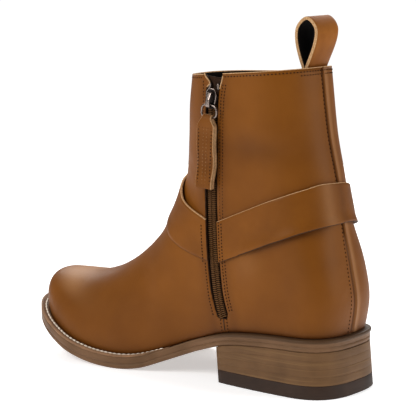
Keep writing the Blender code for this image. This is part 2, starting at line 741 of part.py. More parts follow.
def block(name, size, at, frame, material, collection, bevel=0.0):
    """A box of a size, at a place in a frame's own axes."""
    build = bmesh.new()
    bmesh.ops.create_cube(build, size=1.0)
    bmesh.ops.scale(build, verts=build.verts, vec=size)
    if bevel > 0:
        bmesh.ops.bevel(build, geom=build.edges, offset=bevel, segments=2, profile=0.5, affect="EDGES",
                        offset_type="OFFSET", material=-1)
    bmesh.ops.translate(build, verts=build.verts, vec=at)
    mesh_data = bpy.data.meshes.new(name)
    build.to_mesh(mesh_data)
    build.free()
    item = link(name, mesh_data, material, collection)
    item.matrix_world = frame
    return item


def make_pull(parts, cutters):
    slider_rise = COLLAR_RISE - SLIDER_DROP / SHAFT_HEIGHT
    frame = frame_matrix(slider_rise)
    chain_top = CHAIN_THICKNESS + FIT_GAP - UPPER_WALL - CURVE_GAP
    plate_low = chain_top + FIT_GAP
    plate_top = plate_low + SLIDER_THICKNESS
    metal = finish("slider metal", (0.25, 0.24, 0.24), 0.35, 1.0)
    guide = finish("cutter", (0.5, 0.5, 0.5), 0.5)
    slider = block("zip_slider", (SLIDER_WIDTH, SLIDER_LENGTH, SLIDER_THICKNESS),
                   (0.0, 0.0, plate_low + SLIDER_THICKNESS / 2), frame, metal, parts, 0.0006)
    bridge = block("bridge former", (BRIDGE_WIDTH, BRIDGE_LENGTH, BRIDGE_HEIGHT + 0.0006),
                   (0.0, 0.0, plate_top + BRIDGE_HEIGHT / 2 - 0.0003), frame, guide, cutters, 0.0005)
    eye_length = BRIDGE_LENGTH - 2 * BRIDGE_WALL
    eye_height = BRIDGE_HEIGHT - BRIDGE_WALL
    eye = block("bridge eye cutter", (2 * SLIDER_WIDTH, eye_length, eye_height),
                (0.0, 0.0, plate_top + eye_height / 2), frame, guide, cutters)
    for helper in (bridge, eye):
        make_guide(helper)
    cut(slider, bridge, "UNION")
    cut(slider, eye)

    pivot_y = RING_WIRE / 2 + FIT_GAP - eye_length / 2
    pivot_z = plate_top + eye_height / 2
    pivot = frame @ Matrix.Translation((0.0, pivot_y, pivot_z))
    ring_curve = bpy.data.curves.new("pull_ring", "CURVE")
    ring_curve.dimensions = "3D"
    ring_curve.bevel_depth = RING_WIRE / 2
    ring_curve.bevel_resolution = 2
    spline = ring_curve.splines.new("POLY")
    steps = 20
    spline.points.add(steps - 1)
    reach_x, reach_y = (RING_WIDTH - RING_WIRE) / 2, (RING_LENGTH - RING_WIRE) / 2
    for index, point in enumerate(spline.points):
        angle = 2 * pi * (index + 0.5) / steps
        squash = (abs(cos(angle)) ** 3 + abs(sin(angle)) ** 3) ** (-1 / 3)
        point.co = (reach_x * cos(angle) * squash, reach_y * sin(angle) * squash - reach_y, 0.0, 1.0)
    spline.use_cyclic_u = True
    ring = link("pull_ring", ring_curve, finish("ring metal", (0.30, 0.28, 0.27), 0.3, 1.0), parts)
    ring.matrix_world = pivot

    bar_y = -2 * reach_y
    tab_top = bar_y + RING_WIRE / 2 + FIT_GAP + 0.0013

    def tab_corner(u, v, level):
        down = TAB_LENGTH * u
        width = TAB_NECK_WIDTH + (TAB_WIDTH - TAB_NECK_WIDTH) * blend(0.0035, 0.0105, down)
        thick = TAB_THICKNESS * (0.9 + 0.1 * blend(0.0, 0.006, down))
        return Vector((v * width / 2, tab_top - down, (level - 0.5) * thick))

    tab = slab("pull_tab", 12, 4, 2, tab_corner, finish("tab leather", (0.25, 0.10, 0.03), 0.5), parts)
    tab.matrix_world = pivot
    tunnel = block("tab tunnel cutter", (2 * TAB_WIDTH, RING_WIRE + 2 * FIT_GAP + 0.0006, RING_WIRE + 2 * FIT_GAP),
                   (0.0, bar_y + 0.0002, 0.0), pivot, guide, cutters)
    make_guide(tunnel)
    cut(tab, tunnel)

    for name, side in (("zip_stop_rear", 1), ("zip_stop_front", -1)):
        rise = slider_rise + 0.055
        stop = frame_matrix(rise)
        at = (side * (ZIP_SLOT_WIDTH / 2 - STOP_SIZE * 0.55), 0.0,
              FIT_GAP + STOP_SIZE * 0.3 - UPPER_WALL - CURVE_GAP)
        block(name, (STOP_SIZE * 0.6, STOP_SIZE, STOP_SIZE * 0.6), at, stop, metal.copy(), parts, 0.0003)
    return pivot


def make_loop(parts):
    base_along = section["end"](LAST_SECTION) + UPPER_WALL + CURVE_GAP + LOOP_WALL
    collar = section["end_height"](LAST_SECTION)
    rest = (LOOP_WALL + FIT_GAP) / 2

    def centre_line(u):
        """The strip's middle line in the side view, up the outer leg, over the top and down the inner leg."""
        side = 1 if u < 0.5 else -1
        climb = 1 - abs(2 * u - 1)
        height = LOOP_TUCK + LOOP_HEIGHT - LOOP_WALL / 2
        up = height * sin(climb * pi / 2) ** 1.0 if climb > 0 else 0.0
        above = max(up - LOOP_TUCK, 0.0) / (height - LOOP_TUCK)
        spread = (LOOP_SPREAD - LOOP_WALL) / 2 - rest
        bulge = spread * (above**1.25 * (1 - above**2.6)) / 0.475
        meet = rest * (1 - blend(0.75, 1.0, above)) if above < 1 else 0.0
        return Vector((-side * (meet + max(bulge, 0.0)), up - LOOP_TUCK))

    def wall_sag(across):
        """How far the wall's round back lies in front of its rearmost point."""
        share = abs(across) / (COLLAR_WIDTH / 2)
        return SHAFT_ROUND_LENGTH * (1 - (1 - share**SHAFT_POWER) ** (1 / SHAFT_POWER))

    def loop_corner(u, v, level):
        step = 0.004
        here = centre_line(u)
        sag = wall_sag(v * LOOP_WIDTH / 2) * blend(LOOP_HEIGHT, 0.0, here.y)
        way = centre_line(min(u + step, 1.0)) - centre_line(max(u - step, 0.0))
        away = Vector((way.y, -way.x)).normalized()
        at = here + away * (0.5 - level) * LOOP_WALL
        return place(base_along + sag + at.x, v * LOOP_WIDTH / 2, collar + at.y)

    slab("pull_loop", LOOP_STEPS, 2, 2, loop_corner, finish("loop leather", (0.27, 0.11, 0.04), 0.5), parts)


def main():
    clear_scene()
    parts = new_collection("ankle boot")
    cutters = new_collection("cutters")
    make_upper(parts, cutters)
    make_sole(parts)
    make_heel(parts)
    make_strap(parts)
    make_zip(parts, cutters)
    make_pull(parts, cutters)
    make_loop(parts)


main()
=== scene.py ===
# %% [markdown]
# # A right-foot leather ankle boot
#
# A soft tan upper with an inside zip, an ankle strap, a pull loop and a stacked heel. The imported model
# gives every place and size. This script dresses it and shows it as in the photograph. Metres, +Z up, the
# toe towards -Y, and the inner side of the foot towards +X.
#
# The lesson first describes the surface that everything lies on, then makes the materials, and then adds
# the pieces in about a bootmaker's order: upper, strap, sole, heel, zip, pull, loop and thread.

# %% Start
import math

import bmesh
import bpy
import numpy as np
from mathutils import Matrix, Vector


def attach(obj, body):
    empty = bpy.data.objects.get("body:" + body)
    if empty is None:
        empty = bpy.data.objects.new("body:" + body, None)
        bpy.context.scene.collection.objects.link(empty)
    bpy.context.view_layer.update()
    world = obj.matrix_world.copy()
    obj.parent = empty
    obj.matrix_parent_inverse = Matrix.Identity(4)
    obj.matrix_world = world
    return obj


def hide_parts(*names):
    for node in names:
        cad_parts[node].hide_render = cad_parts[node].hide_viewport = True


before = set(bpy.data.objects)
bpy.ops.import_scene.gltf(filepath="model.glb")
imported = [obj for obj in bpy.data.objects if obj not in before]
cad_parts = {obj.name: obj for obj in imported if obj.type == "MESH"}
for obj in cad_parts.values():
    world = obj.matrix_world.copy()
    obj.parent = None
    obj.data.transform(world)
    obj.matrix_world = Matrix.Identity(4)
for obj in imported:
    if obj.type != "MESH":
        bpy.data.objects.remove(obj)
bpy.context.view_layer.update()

# %% [markdown]
# ## Camera
#
# The boot is seen from low down, from behind its inner side. A camera could stand close with a wide lens,
# but the edges of the real boot hardly converge. So this one stands over a metre away and has a narrow
# view. It turns round a point by the ankle, given as angles and a distance, because those are easy to
# match.

# %% Camera
CAMERA_AROUND = 126.51
CAMERA_ABOVE = 8.95
CAMERA_DISTANCE = 1.2055
CAMERA_ANGLE = 12.71
CAMERA_AIM = Vector((0.0508, -0.0400, 0.1203))


def put_round(item, around, above, distance):
    """Puts a camera or a light round the boot, aimed at it. The angles are degrees from the toe and up."""
    around, above = math.radians(around), math.radians(above)
    back = Vector((
        math.sin(around) * math.cos(above),
        -math.cos(around) * math.cos(above),
        math.sin(above),
    ))
    item.location = CAMERA_AIM + back * distance
    item.rotation_euler = back.to_track_quat("Z", "Y").to_euler()
    bpy.context.scene.collection.objects.link(item)


def make_camera():
    data = bpy.data.cameras.new("camera")
    data.sensor_fit = "HORIZONTAL"
    data.angle = math.radians(CAMERA_ANGLE)
    camera = bpy.data.objects.new("camera", data)
    put_round(camera, CAMERA_AROUND, CAMERA_ABOVE, CAMERA_DISTANCE)
    bpy.context.scene.camera = camera
    return camera


camera = make_camera()
print("camera at", [round(value, 3) for value in camera.location])

# %% [markdown]
# ## Sizes
#
# A bootmaker starts from a last: a foot-shaped form with a length, a ball width and a profile. The dressed
# pieces could be fitted to the solids' meshes, but they would then be as coarse as those. So they are made
# anew from the same named sizes and short tables, and every piece lies where its solid does. In the
# tables, along and front are shares of the last's length from the heel, and a rise is a share of the
# shaft's height above the heel seat.

# %% Sizes of the last, the sole and the trim
LAST_LENGTH = 0.247
BALL_WIDTH = 0.087
VAMP_HEIGHT = 0.088
SHAFT_HEIGHT = 0.171
ANKLE_WIDTH = 0.068
COLLAR_WIDTH = 0.075
TOE_ROUND_LENGTH = 0.043
HEEL_ROUND_LENGTH = 0.0285
SHAFT_ROUND_LENGTH = 0.037
TOE_SWING = 0.0024
TUCK_HEIGHT = 0.020
COLLAR_OUTER_RISE = -0.003
UPPER_WALL = 0.002
STRAP_WALL = 0.0018
FIT_GAP = 0.0003
CURVE_GAP = 0.0005
OUTSOLE_THICKNESS = 0.0035
MIDSOLE_THICKNESS = 0.0048
RAND_LIP = 0.0007
WELT_THICKNESS = 0.0018
WELT_START = 0.46
HEEL_HEIGHT = 0.0305
TOE_SPRING = 0.0240
TOP_PIECE_THICKNESS = 0.0090
LIFT_COUNT = 4
HEEL_LENGTH = 0.088
HEEL_BREAST_HOLLOW = 0.005
HEEL_UNDERCUT = 0.0020
HEEL_FLARE = 0.0025
HEEL_INSET = 0.0004
TOE_EXTENSION = 0.0065
BALL_EXTENSION = 0.0060
WAIST_EXTENSION = 0.0030
SEAT_EXTENSION = 0.0036
STRAP_WIDTH = 0.0262
STRAP_STAND_OFF = 0.0035
ZIP_SLOT_WIDTH = 0.0095
ZIP_MOUTH_WIDTH = 0.0125
TAPE_WIDTH = 0.0210
TAPE_THICKNESS = 0.0008
CHAIN_WIDTH = 0.0056
CHAIN_THICKNESS = 0.0016
SLIDER_DROP = 0.0175
SLIDER_LENGTH = 0.0115
SLIDER_WIDTH = 0.0080
SLIDER_THICKNESS = 0.0022
BRIDGE_LENGTH = 0.0080
BRIDGE_WIDTH = 0.0030
BRIDGE_HEIGHT = 0.0040
BRIDGE_WALL = 0.0009
RING_WIRE = 0.0013
RING_WIDTH = 0.0135
RING_LENGTH = 0.0120
TAB_WIDTH = 0.0135
TAB_NECK_WIDTH = 0.0070
TAB_LENGTH = 0.0470
TAB_THICKNESS = 0.0042
STOP_SIZE = 0.0026
LOOP_WIDTH = 0.0220
LOOP_WALL = 0.0021
LOOP_HEIGHT = 0.0327
LOOP_SPREAD = 0.0190
LOOP_TUCK = 0.0120
TOE_POWER = 2.3
HEEL_POWER = 3.0
SHAFT_POWER = 2.1
SPRING_START = 0.70
SPRING_POWER = 1.7
WAIST_CROWDING = 0.055
FOOT_TOP_RISE = 0.16
HEEL_ROUND_TOP = 0.20
ANKLE_RISE = 0.50
print("last:", LAST_LENGTH * 1000, "mm, shaft:", SHAFT_HEIGHT * 1000, "mm")

# %% Tables of the plan, the arch, the sections, the zip and the strap
PLAN = (
    {"name": "heel back", "along": 0.00, "inner": 0.374, "outer": 0.374,
     "swell_in": 0.020, "swell_out": 0.020},
    {"name": "heel seat", "along": 0.16, "inner": 0.371, "outer": 0.371,
     "swell_in": 0.024, "swell_out": 0.024},
    {"name": "breast", "along": 0.30, "inner": 0.350, "outer": 0.372,
     "swell_in": 0.040, "swell_out": 0.030},
    {"name": "waist", "along": 0.43, "inner": 0.307, "outer": 0.395,
     "swell_in": 0.070, "swell_out": 0.030},
    {"name": "joint back", "along": 0.56, "inner": 0.370, "outer": 0.455,
     "swell_in": 0.050, "swell_out": 0.030},
    {"name": "ball", "along": 0.69, "inner": 0.436, "outer": 0.500,
     "swell_in": 0.028, "swell_out": 0.028},
    {"name": "toe base", "along": 0.80, "inner": 0.430, "outer": 0.480,
     "swell_in": 0.022, "swell_out": 0.022},
    {"name": "toe side", "along": 0.90, "inner": 0.385, "outer": 0.430,
     "swell_in": 0.016, "swell_out": 0.016},
    {"name": "toe", "along": 1.00, "inner": 0.350, "outer": 0.370,
     "swell_in": 0.010, "swell_out": 0.010},
)

ARCH_LINE = (
    {"name": "heel back", "along": 0.00, "rise": 1.000},
    {"name": "heel seat", "along": 0.16, "rise": 0.975},
    {"name": "breast", "along": 0.29, "rise": 0.885},
    {"name": "shank", "along": 0.42, "rise": 0.590},
    {"name": "joint back", "along": 0.54, "rise": 0.210},
    {"name": "ball back", "along": 0.62, "rise": 0.000},
    {"name": "ball front", "along": 0.70, "rise": 0.000},
)

EXTENSION = (
    {"name": "seat", "along": 0.00, "out": SEAT_EXTENSION},
    {"name": "breast", "along": 0.27, "out": SEAT_EXTENSION},
    {"name": "waist", "along": 0.40, "out": WAIST_EXTENSION},
    {"name": "ball", "along": 0.58, "out": BALL_EXTENSION},
    {"name": "toe", "along": 1.00, "out": TOE_EXTENSION},
)

FOOT_SECTIONS = (
    {"name": "toe tip", "front": 1.000, "lift": 0.000, "sole": 1.000, "crown": 1.00, "power": 2.2},
    {"name": "toe wall low", "front": 1.006, "lift": 0.112, "sole": 0.992, "crown": 1.00, "power": 2.2},
    {"name": "toe wall", "front": 1.003, "lift": 0.196, "sole": 0.978, "crown": 1.00, "power": 2.2},
    {"name": "toe shoulder", "front": 0.987, "lift": 0.275, "sole": 0.958, "crown": 1.00, "power": 2.2},
    {"name": "toe crest", "front": 0.956, "lift": 0.350, "sole": 0.932, "crown": 1.00, "power": 2.2},
    {"name": "toe box", "front": 0.909, "lift": 0.415, "sole": 0.890, "crown": 1.00, "power": 2.2},
    {"name": "toe back", "front": 0.848, "lift": 0.485, "sole": 0.830, "crown": 1.00, "power": 2.2},
    {"name": "ball", "front": 0.772, "lift": 0.595, "sole": 0.750, "crown": 1.00, "power": 2.1},
    {"name": "vamp", "front": 0.706, "lift": 0.710, "sole": 0.660, "crown": 1.00, "power": 2.0},
    {"name": "joint", "front": 0.648, "lift": 0.838, "sole": 0.560, "crown": 0.95, "power": 2.0},
    {"name": "instep", "front": 0.603, "lift": 0.958, "sole": 0.450, "crown": 0.70, "power": 2.0},
)

SHAFT_SECTIONS = (
    {"name": "throat", "front": 0.563, "front_rise": 0.405, "sole": 0.330, "crown": 0.48, "power": 2.0},
    {"name": "ankle fold", "front": 0.533, "front_rise": 0.466, "sole": 0.200, "crown": 0.38, "power": 2.0},
    {"name": "heel seat", "front": 0.514, "front_rise": 0.515, "sole": 0.085, "crown": 0.33, "power": 2.0},
    {"name": "heel corner", "front": 0.503, "front_rise": 0.555, "sole": 0.000, "crown": 0.32, "power": 2.1},
    {"name": "counter", "front": 0.497, "front_rise": 0.592, "back": -0.0105, "back_rise": 0.120,
     "crown": 0.32, "power": 2.1},
    {"name": "heel curve", "front": 0.494, "front_rise": 0.633, "back": 0.004, "back_rise": 0.250,
     "crown": 0.32, "power": 2.1},
    {"name": "tendon", "front": 0.491, "front_rise": 0.683, "back": 0.028, "back_rise": 0.400,
     "crown": 0.32, "power": 2.1},
    {"name": "ankle", "front": 0.489, "front_rise": 0.754, "back": 0.048, "back_rise": 0.570,
     "crown": 0.34, "power": 2.1},
    {"name": "shaft", "front": 0.487, "front_rise": 0.838, "back": 0.077, "back_rise": 0.755,
     "crown": 0.36, "power": 2.1},
    {"name": "collar", "front": 0.478, "front_rise": 0.958, "back": 0.101, "back_rise": 1.005,
     "crown": 0.38, "power": 2.1},
)

ZIP_LINE = (
    {"name": "foot", "rise": 0.030, "along": 0.317},
    {"name": "bend", "rise": 0.14, "along": 0.338},
    {"name": "strap", "rise": 0.33, "along": 0.351},
    {"name": "ankle", "rise": 0.53, "along": 0.355},
    {"name": "shaft", "rise": 0.70, "along": 0.351},
    {"name": "slider", "rise": 0.87, "along": 0.343},
    {"name": "collar", "rise": 1.00, "along": 0.336},
)

STRAP_LINE = (
    {"name": "zip rear", "lap": 0.40, "off": 0.0},
    {"name": "inner side", "lap": 0.56, "off": 0.0},
    {"name": "inner heel", "lap": 0.76, "off": 0.0},
    {"name": "back", "lap": 1.00, "off": 0.0},
    {"name": "outer heel", "lap": 1.25, "off": 0.0},
    {"name": "outer side", "lap": 1.55, "off": 0.0},
    {"name": "outer front", "lap": 1.80, "off": 0.3},
    {"name": "front", "lap": 2.00, "off": 0.5},
    {"name": "inner front", "lap": 2.20, "off": 0.8},
    {"name": "inner fold", "lap": 2.31, "off": 0.7},
    {"name": "zip front", "lap": 2.42, "off": 0.2},
)

SOLE_TOP = OUTSOLE_THICKNESS + MIDSOLE_THICKNESS
SEAT_HEIGHT = HEEL_HEIGHT + SOLE_TOP
BREAST = HEEL_LENGTH - SEAT_EXTENSION
HEEL_MIDDLE = (BREAST - HEEL_UNDERCUT - SEAT_EXTENSION - HEEL_FLARE) / 2
SECTIONS = FOOT_SECTIONS + SHAFT_SECTIONS
LAST_SECTION = len(SECTIONS) - 1
HEEL_CORNER = len(FOOT_SECTIONS) + 3
print("sections of the upper:", len(SECTIONS))

# %% [markdown]
# ## Surface of the upper
#
# The upper is leather pulled over a last, with no flat or round stretch anywhere. It could be sculpted, or
# be a subdivided cage, but the strap, the zip and each stitch have to lie exactly on it. So its surface is
# a formula. A point of it has a section (0 at the toe, up to the collar) and a turn (0 on the ridge, 1 and
# -1 at the back or the sole, + on the inner side). The functions work on whole arrays of points, which is
# fast.


# %% Smooth tracks, steps and hills
def track(at, value):
    """A smooth curve through the points that never overshoots one."""
    at, value = np.asarray(at, float), np.asarray(value, float)
    step = np.diff(at)
    rate = np.diff(value) / step
    slope = np.zeros(len(at))
    slope[0], slope[-1] = rate[0], rate[-1]
    before, after = rate[:-1], rate[1:]
    heavy, light = 2 * step[1:] + step[:-1], step[1:] + 2 * step[:-1]
    same = before * after > 0
    slope[1:-1][same] = ((heavy + light)[same]) / (heavy[same] / before[same] + light[same] / after[same])

    def read(position):
        position = np.clip(position, at[0], at[-1])
        i = np.clip(np.searchsorted(at, position, side="right") - 1, 0, len(step) - 1)
        t = (position - at[i]) / step[i]
        return (
            value[i] * (2 * t**3 - 3 * t**2 + 1)
            + slope[i] * step[i] * (t**3 - 2 * t**2 + t)
            + value[i + 1] * (3 * t**2 - 2 * t**3)
            + slope[i + 1] * step[i] * (t**3 - t**2)
        )

    return read


def column(rows, key, position="along"):
    """A smooth track through one column of a table."""
    return track([row[position] for row in rows], [row[key] for row in rows])


def blend(low, high, value):
    """A smooth step from 0 at low to 1 at high."""
    t = np.clip((value - low) / (high - low), 0.0, 1.0)
    return t * t * (3 - 2 * t)


def bump(centre, reach, value):
    """A smooth hill: 1 at its centre and near 0 beyond its reach."""
    return np.exp(-(((value - centre) / reach) ** 2))


def rounding(depth, length, power):
    """A rounded end: 0 at its tip, and 1 from its length on."""
    left = np.clip(1 - np.clip(depth, 0.0, None) / length, 0.0, 1.0)
    return np.clip(1 - left**power, 0.0, None) ** (1 / power)


print("half way up a step:", float(blend(0.0, 1.0, 0.5)))

# %% [markdown]
# ## The sole's line
#
# Seen from the side, a heeled boot stands on its heel and its ball, with an arch between them and a toe
# that springs up. It could be one spline, but then a change of heel height would bend the toe too. So the
# arch is a share of the heel's height and the spring a power curve of its own, averaged over a few points
# at the ball, where a real sole bends without a corner.

# %% Line of the sole
BALL_SHARE = 0.66
BALL_SOFTNESS = 0.045
plan_inner, plan_outer = column(PLAN, "inner"), column(PLAN, "outer")
swell_inner, swell_outer = column(PLAN, "swell_in"), column(PLAN, "swell_out")
arch_rise = column(ARCH_LINE, "rise")
edge_out = column(EXTENSION, "out")
zip_along = column(ZIP_LINE, "along", "rise")
strap_off = column(STRAP_LINE, "off", "lap")


def sole_base(along):
    """The height of the sole's underside, with the bend at the ball softened."""
    steps = np.array([-1.0, -0.5, 0.0, 0.5, 1.0]) * BALL_SOFTNESS
    share = np.asarray(along, float)[..., None] / LAST_LENGTH
    share = share + steps * bump(BALL_SHARE, 0.16, share)
    spring = np.clip(share - SPRING_START, 0.0, None) / (1 - SPRING_START)
    return (HEEL_HEIGHT * arch_rise(share) + TOE_SPRING * spring**SPRING_POWER).mean(-1)


def feather(along):
    """The height of the edge where the upper meets the sole."""
    return sole_base(along) + SOLE_TOP


def middle(along):
    """How far the sole's middle line swings sideways towards the toe."""
    return TOE_SWING * blend(0.55, 1.0, along / LAST_LENGTH)


def place(along, across, height):
    """A point of the scene, from how far it is along the last."""
    along, across, height = np.broadcast_arrays(along, across, height)
    return np.stack([across, HEEL_MIDDLE - along, height], -1)


print("toe tip:", float(sole_base(LAST_LENGTH)), "m above the floor")

# %% [markdown]
# ## Sections of the upper
#
# Each row of the section tables is a cut through the boot, square to the foot at the toe and level at the
# collar. The cuts could be curves with points of their own, but a few measures each, smoothly blended,
# leave no dents.


# %% Ends and widths of a section
def section_value(read_row):
    """A smooth track of one measure over all sections."""
    return track(range(len(SECTIONS)), [read_row(row) for row in SECTIONS])


def front_height_of(row):
    """The height of a section's end on the ridge."""
    if "lift" in row:
        return feather(row["front"] * LAST_LENGTH) + row["lift"] * VAMP_HEIGHT
    return SEAT_HEIGHT + row["front_rise"] * SHAFT_HEIGHT


def end_height_of(row):
    """The height of a section's end on the sole or the back."""
    if "sole" in row:
        return feather(row["sole"] * LAST_LENGTH)
    return SEAT_HEIGHT + row["back_rise"] * SHAFT_HEIGHT


section_front = section_value(lambda row: row["front"] * LAST_LENGTH)
section_front_height = section_value(front_height_of)
section_end = section_value(lambda row: row.get("sole", row.get("back")) * LAST_LENGTH)
section_end_height = section_value(end_height_of)
section_toe = section_value(lambda row: (1 - row.get("sole", 0.0)) * LAST_LENGTH)
section_crown = section_value(lambda row: row["crown"])
section_power = section_value(lambda row: row["power"])
BACK_ROWS = [row for row in SHAFT_SECTIONS if "back" in row]
back_along = track(
    [SEAT_HEIGHT] + [end_height_of(row) for row in BACK_ROWS],
    [0.0] + [row["back"] * LAST_LENGTH for row in BACK_ROWS],
)


def section_ends(at_section):
    """Both ends of a section in the side view, as along and height."""
    front = np.stack([section_front(at_section), section_front_height(at_section)], -1)
    along, height = section_end(at_section), section_end_height(at_section)
    on_sole = at_section <= HEEL_CORNER
    height = np.where(on_sole, feather(along), height)
    along = np.where(on_sole, along, back_along(height))
    return front, np.stack([along, height], -1)


def side_width(along, height, inner):
    """Half the boot's width: the foot's plan low down, and the round shaft higher up."""
    share = along / LAST_LENGTH
    plan = np.where(inner, plan_inner(share), plan_outer(share))
    swell = np.where(inner, swell_inner(share), swell_outer(share))
    foot = BALL_WIDTH * (plan + swell * rounding(height - feather(along), TUCK_HEIGHT, 2.0))
    rise = (height - SEAT_HEIGHT) / SHAFT_HEIGHT
    shaft = ANKLE_WIDTH + (COLLAR_WIDTH - ANKLE_WIDTH) * blend(ANKLE_RISE, 1.0, rise)
    share_up = blend(FOOT_TOP_RISE, ANKLE_RISE, rise)
    return foot * (1 - share_up) + shaft / 2 * share_up


def back_rounding(depth, height):
    """How the boot rounds off at its back, tighter at the heel than at the collar."""
    up = blend(HEEL_ROUND_TOP, ANKLE_RISE, (height - SEAT_HEIGHT) / SHAFT_HEIGHT)
    length = HEEL_ROUND_LENGTH + (SHAFT_ROUND_LENGTH - HEEL_ROUND_LENGTH) * up
    return rounding(depth, length, HEEL_POWER + (SHAFT_POWER - HEEL_POWER) * up)


def skin(at_section, turn):
    """The points of the upper's outer surface."""
    at_section, turn = np.broadcast_arrays(np.asarray(at_section, float), np.asarray(turn, float))
    front, end = section_ends(at_section)
    reach = (1 - np.cos(np.pi * np.abs(turn))) / 2
    at = front + (end - front) * reach[..., None]
    length = np.maximum(np.linalg.norm(end - front, axis=-1), 1e-6)
    width = side_width(at[..., 0], at[..., 1], turn > 0)
    width = width * rounding(reach * length, section_crown(at_section) * length, section_power(at_section))
    width = width * rounding(section_toe(at_section), TOE_ROUND_LENGTH, TOE_POWER)
    width = width * back_rounding(at[..., 0] - back_along(at[..., 1]), at[..., 1])
    dip = COLLAR_OUTER_RISE * np.sin(np.pi * reach) * blend(HEEL_CORNER + 2, LAST_SECTION, at_section)
    height = at[..., 1] + np.where(turn < 0, dip, 0.0)
    return place(at[..., 0], middle(at[..., 0]) + np.where(turn > 0, width, -width), height)


def unit(way):
    """The same ways, all one metre long."""
    return way / np.maximum(np.linalg.norm(way, axis=-1, keepdims=True), 1e-12)


def skin_normal(at_section, turn):
    """The way straight out of the skin, from points close by."""
    step, small = 0.03, 0.012
    at_section = np.clip(at_section, step, LAST_SECTION - step)
    up = skin(at_section + step, turn) - skin(at_section - step, turn)
    on = skin(at_section, np.clip(turn + small, -1, 1)) - skin(at_section, np.clip(turn - small, -1, 1))
    return unit(np.cross(on, up))


print("collar's back:", skin(float(LAST_SECTION), 1.0).round(4))

# %% [markdown]
# ## Finding a place on the upper
#
# A zip or a row of stitches is drawn on the side view, by how far along and how high it is. Its pieces
# could be shrink-wrapped onto the upper, but a formula can be read backwards: these functions search the
# sections for the one that passes through a point. The zip gets its own coordinates, a rise and a distance
# sideways.

# %% Places on the wall and by the zip
SAMPLES = np.linspace(1.0, LAST_SECTION, 900)
SAMPLE_FRONT, SAMPLE_END = section_ends(SAMPLES)


def section_at(along, height):
    """The section and turn of a point of the side view, on the inner side."""
    line = SAMPLE_END - SAMPLE_FRONT
    offset = np.stack(np.broadcast_arrays(along, height), -1)[..., None, :] - SAMPLE_FRONT
    miss = line[:, 0] * offset[..., 1] - line[:, 1] * offset[..., 0]
    change = np.sign(miss[..., 1:]) != np.sign(miss[..., :-1])
    index = np.where(change.any(-1), change.argmax(-1), len(SAMPLES) - 2)
    before = np.take_along_axis(miss, index[..., None], -1)[..., 0]
    after = np.take_along_axis(miss, index[..., None] + 1, -1)[..., 0]
    share = np.clip(before / np.where(before == after, 1.0, before - after), 0.0, 1.0)
    at_section = SAMPLES[index] + share * (SAMPLES[1] - SAMPLES[0])
    front, end = section_ends(at_section)
    reach = np.linalg.norm(np.stack(np.broadcast_arrays(along, height), -1) - front, axis=-1)
    reach = np.clip(reach / np.linalg.norm(end - front, axis=-1), 0.0, 1.0)
    return at_section, np.arccos(1 - 2 * reach) / np.pi


def section_at_height(turn, height):
    """The section whose point at a turn has a height."""
    turn, height = np.broadcast_arrays(np.asarray(turn, float), np.asarray(height, float))
    rows = np.linspace(len(FOOT_SECTIONS) - 3, LAST_SECTION, 240)
    heights = skin(rows, turn.reshape(-1, 1))[..., 2]
    found = [np.interp(level, line, rows) for level, line in zip(height.ravel(), heights)]
    return np.array(found).reshape(turn.shape)


def collar_height(along):
    """The collar's height in the side view, which slopes down to the front."""
    front, end = section_ends(np.array(float(LAST_SECTION)))
    share = np.clip((front[0] - along) / (front[0] - end[0]), 0.0, 1.0)
    return front[1] + (end[1] - front[1]) * share


COLLAR_MARGIN = 0.0005


def wall_point(along, height, out):
    """A point of the inner side, out of the wall. Above the collar it goes straight on up."""
    top = collar_height(along) - COLLAR_MARGIN
    at_section, turn = section_at(along, np.minimum(height, top))
    point = skin(at_section, turn) + skin_normal(at_section, turn) * np.asarray(out)[..., None]
    point[..., 2] += np.maximum(height - top, 0.0)
    return point


ZIP_FOOT = ZIP_LINE[0]["rise"]
COLLAR_RISE = float((collar_height(ZIP_LINE[-1]["along"] * LAST_LENGTH) - SEAT_HEIGHT) / SHAFT_HEIGHT)
SLIDER_RISE = COLLAR_RISE - SLIDER_DROP / SHAFT_HEIGHT


def zip_point(rise, sideways, out):
    """A point by the zip: its rise, how far it is towards the heel, and how far out of the wall."""
    rise, sideways, out = np.broadcast_arrays(*(np.asarray(value, float) for value in (rise, sideways, out)))
    step = 0.01
    lean = (zip_along(rise + step) - zip_along(rise - step)) * LAST_LENGTH / (2 * step * SHAFT_HEIGHT)
    tilt = 1 / np.sqrt(1 + lean**2)
    along = zip_along(rise) * LAST_LENGTH - sideways * tilt
    height = SEAT_HEIGHT + SHAFT_HEIGHT * rise + sideways * tilt * lean
    return wall_point(along, height, out)


SLOT_END_ROUND = 0.0026


def zip_half_width(rise):
    """Half the slot's width, with its mouth wider and its foot round."""
    half = ZIP_SLOT_WIDTH / 2 + (ZIP_MOUTH_WIDTH - ZIP_SLOT_WIDTH) / 2 * blend(SLIDER_RISE, COLLAR_RISE, rise)
    return half * rounding((rise - ZIP_FOOT) * SHAFT_HEIGHT + 0.0006, SLOT_END_ROUND, 2.0)


print("collar rise beside the zip:", round(COLLAR_RISE, 3))

# %% [markdown]
# ## Sheets, wires and threads
#
# Nearly all of this boot is a sheet, a wire or a thread, so three functions make them. A sheet of leather
# could be a plane with a Solidify modifier, but its two faces and its cut edges differ in colour and have
# their edges rounded. So it is a grid that is extruded through its thickness, level by level, and then
# bent into place. A wire is a grid rolled up round its path. A thread is a small ball, stretched along its
# seam and half sunk.


# %% Sheets
def show(name, data, materials):
    """Puts a mesh in the scene, smooth, with its materials, at the origin."""
    for material in materials:
        data.materials.append(material)
    data.shade_smooth()
    item = bpy.data.objects.new(name, data)
    bpy.context.scene.collection.objects.link(item)
    return item


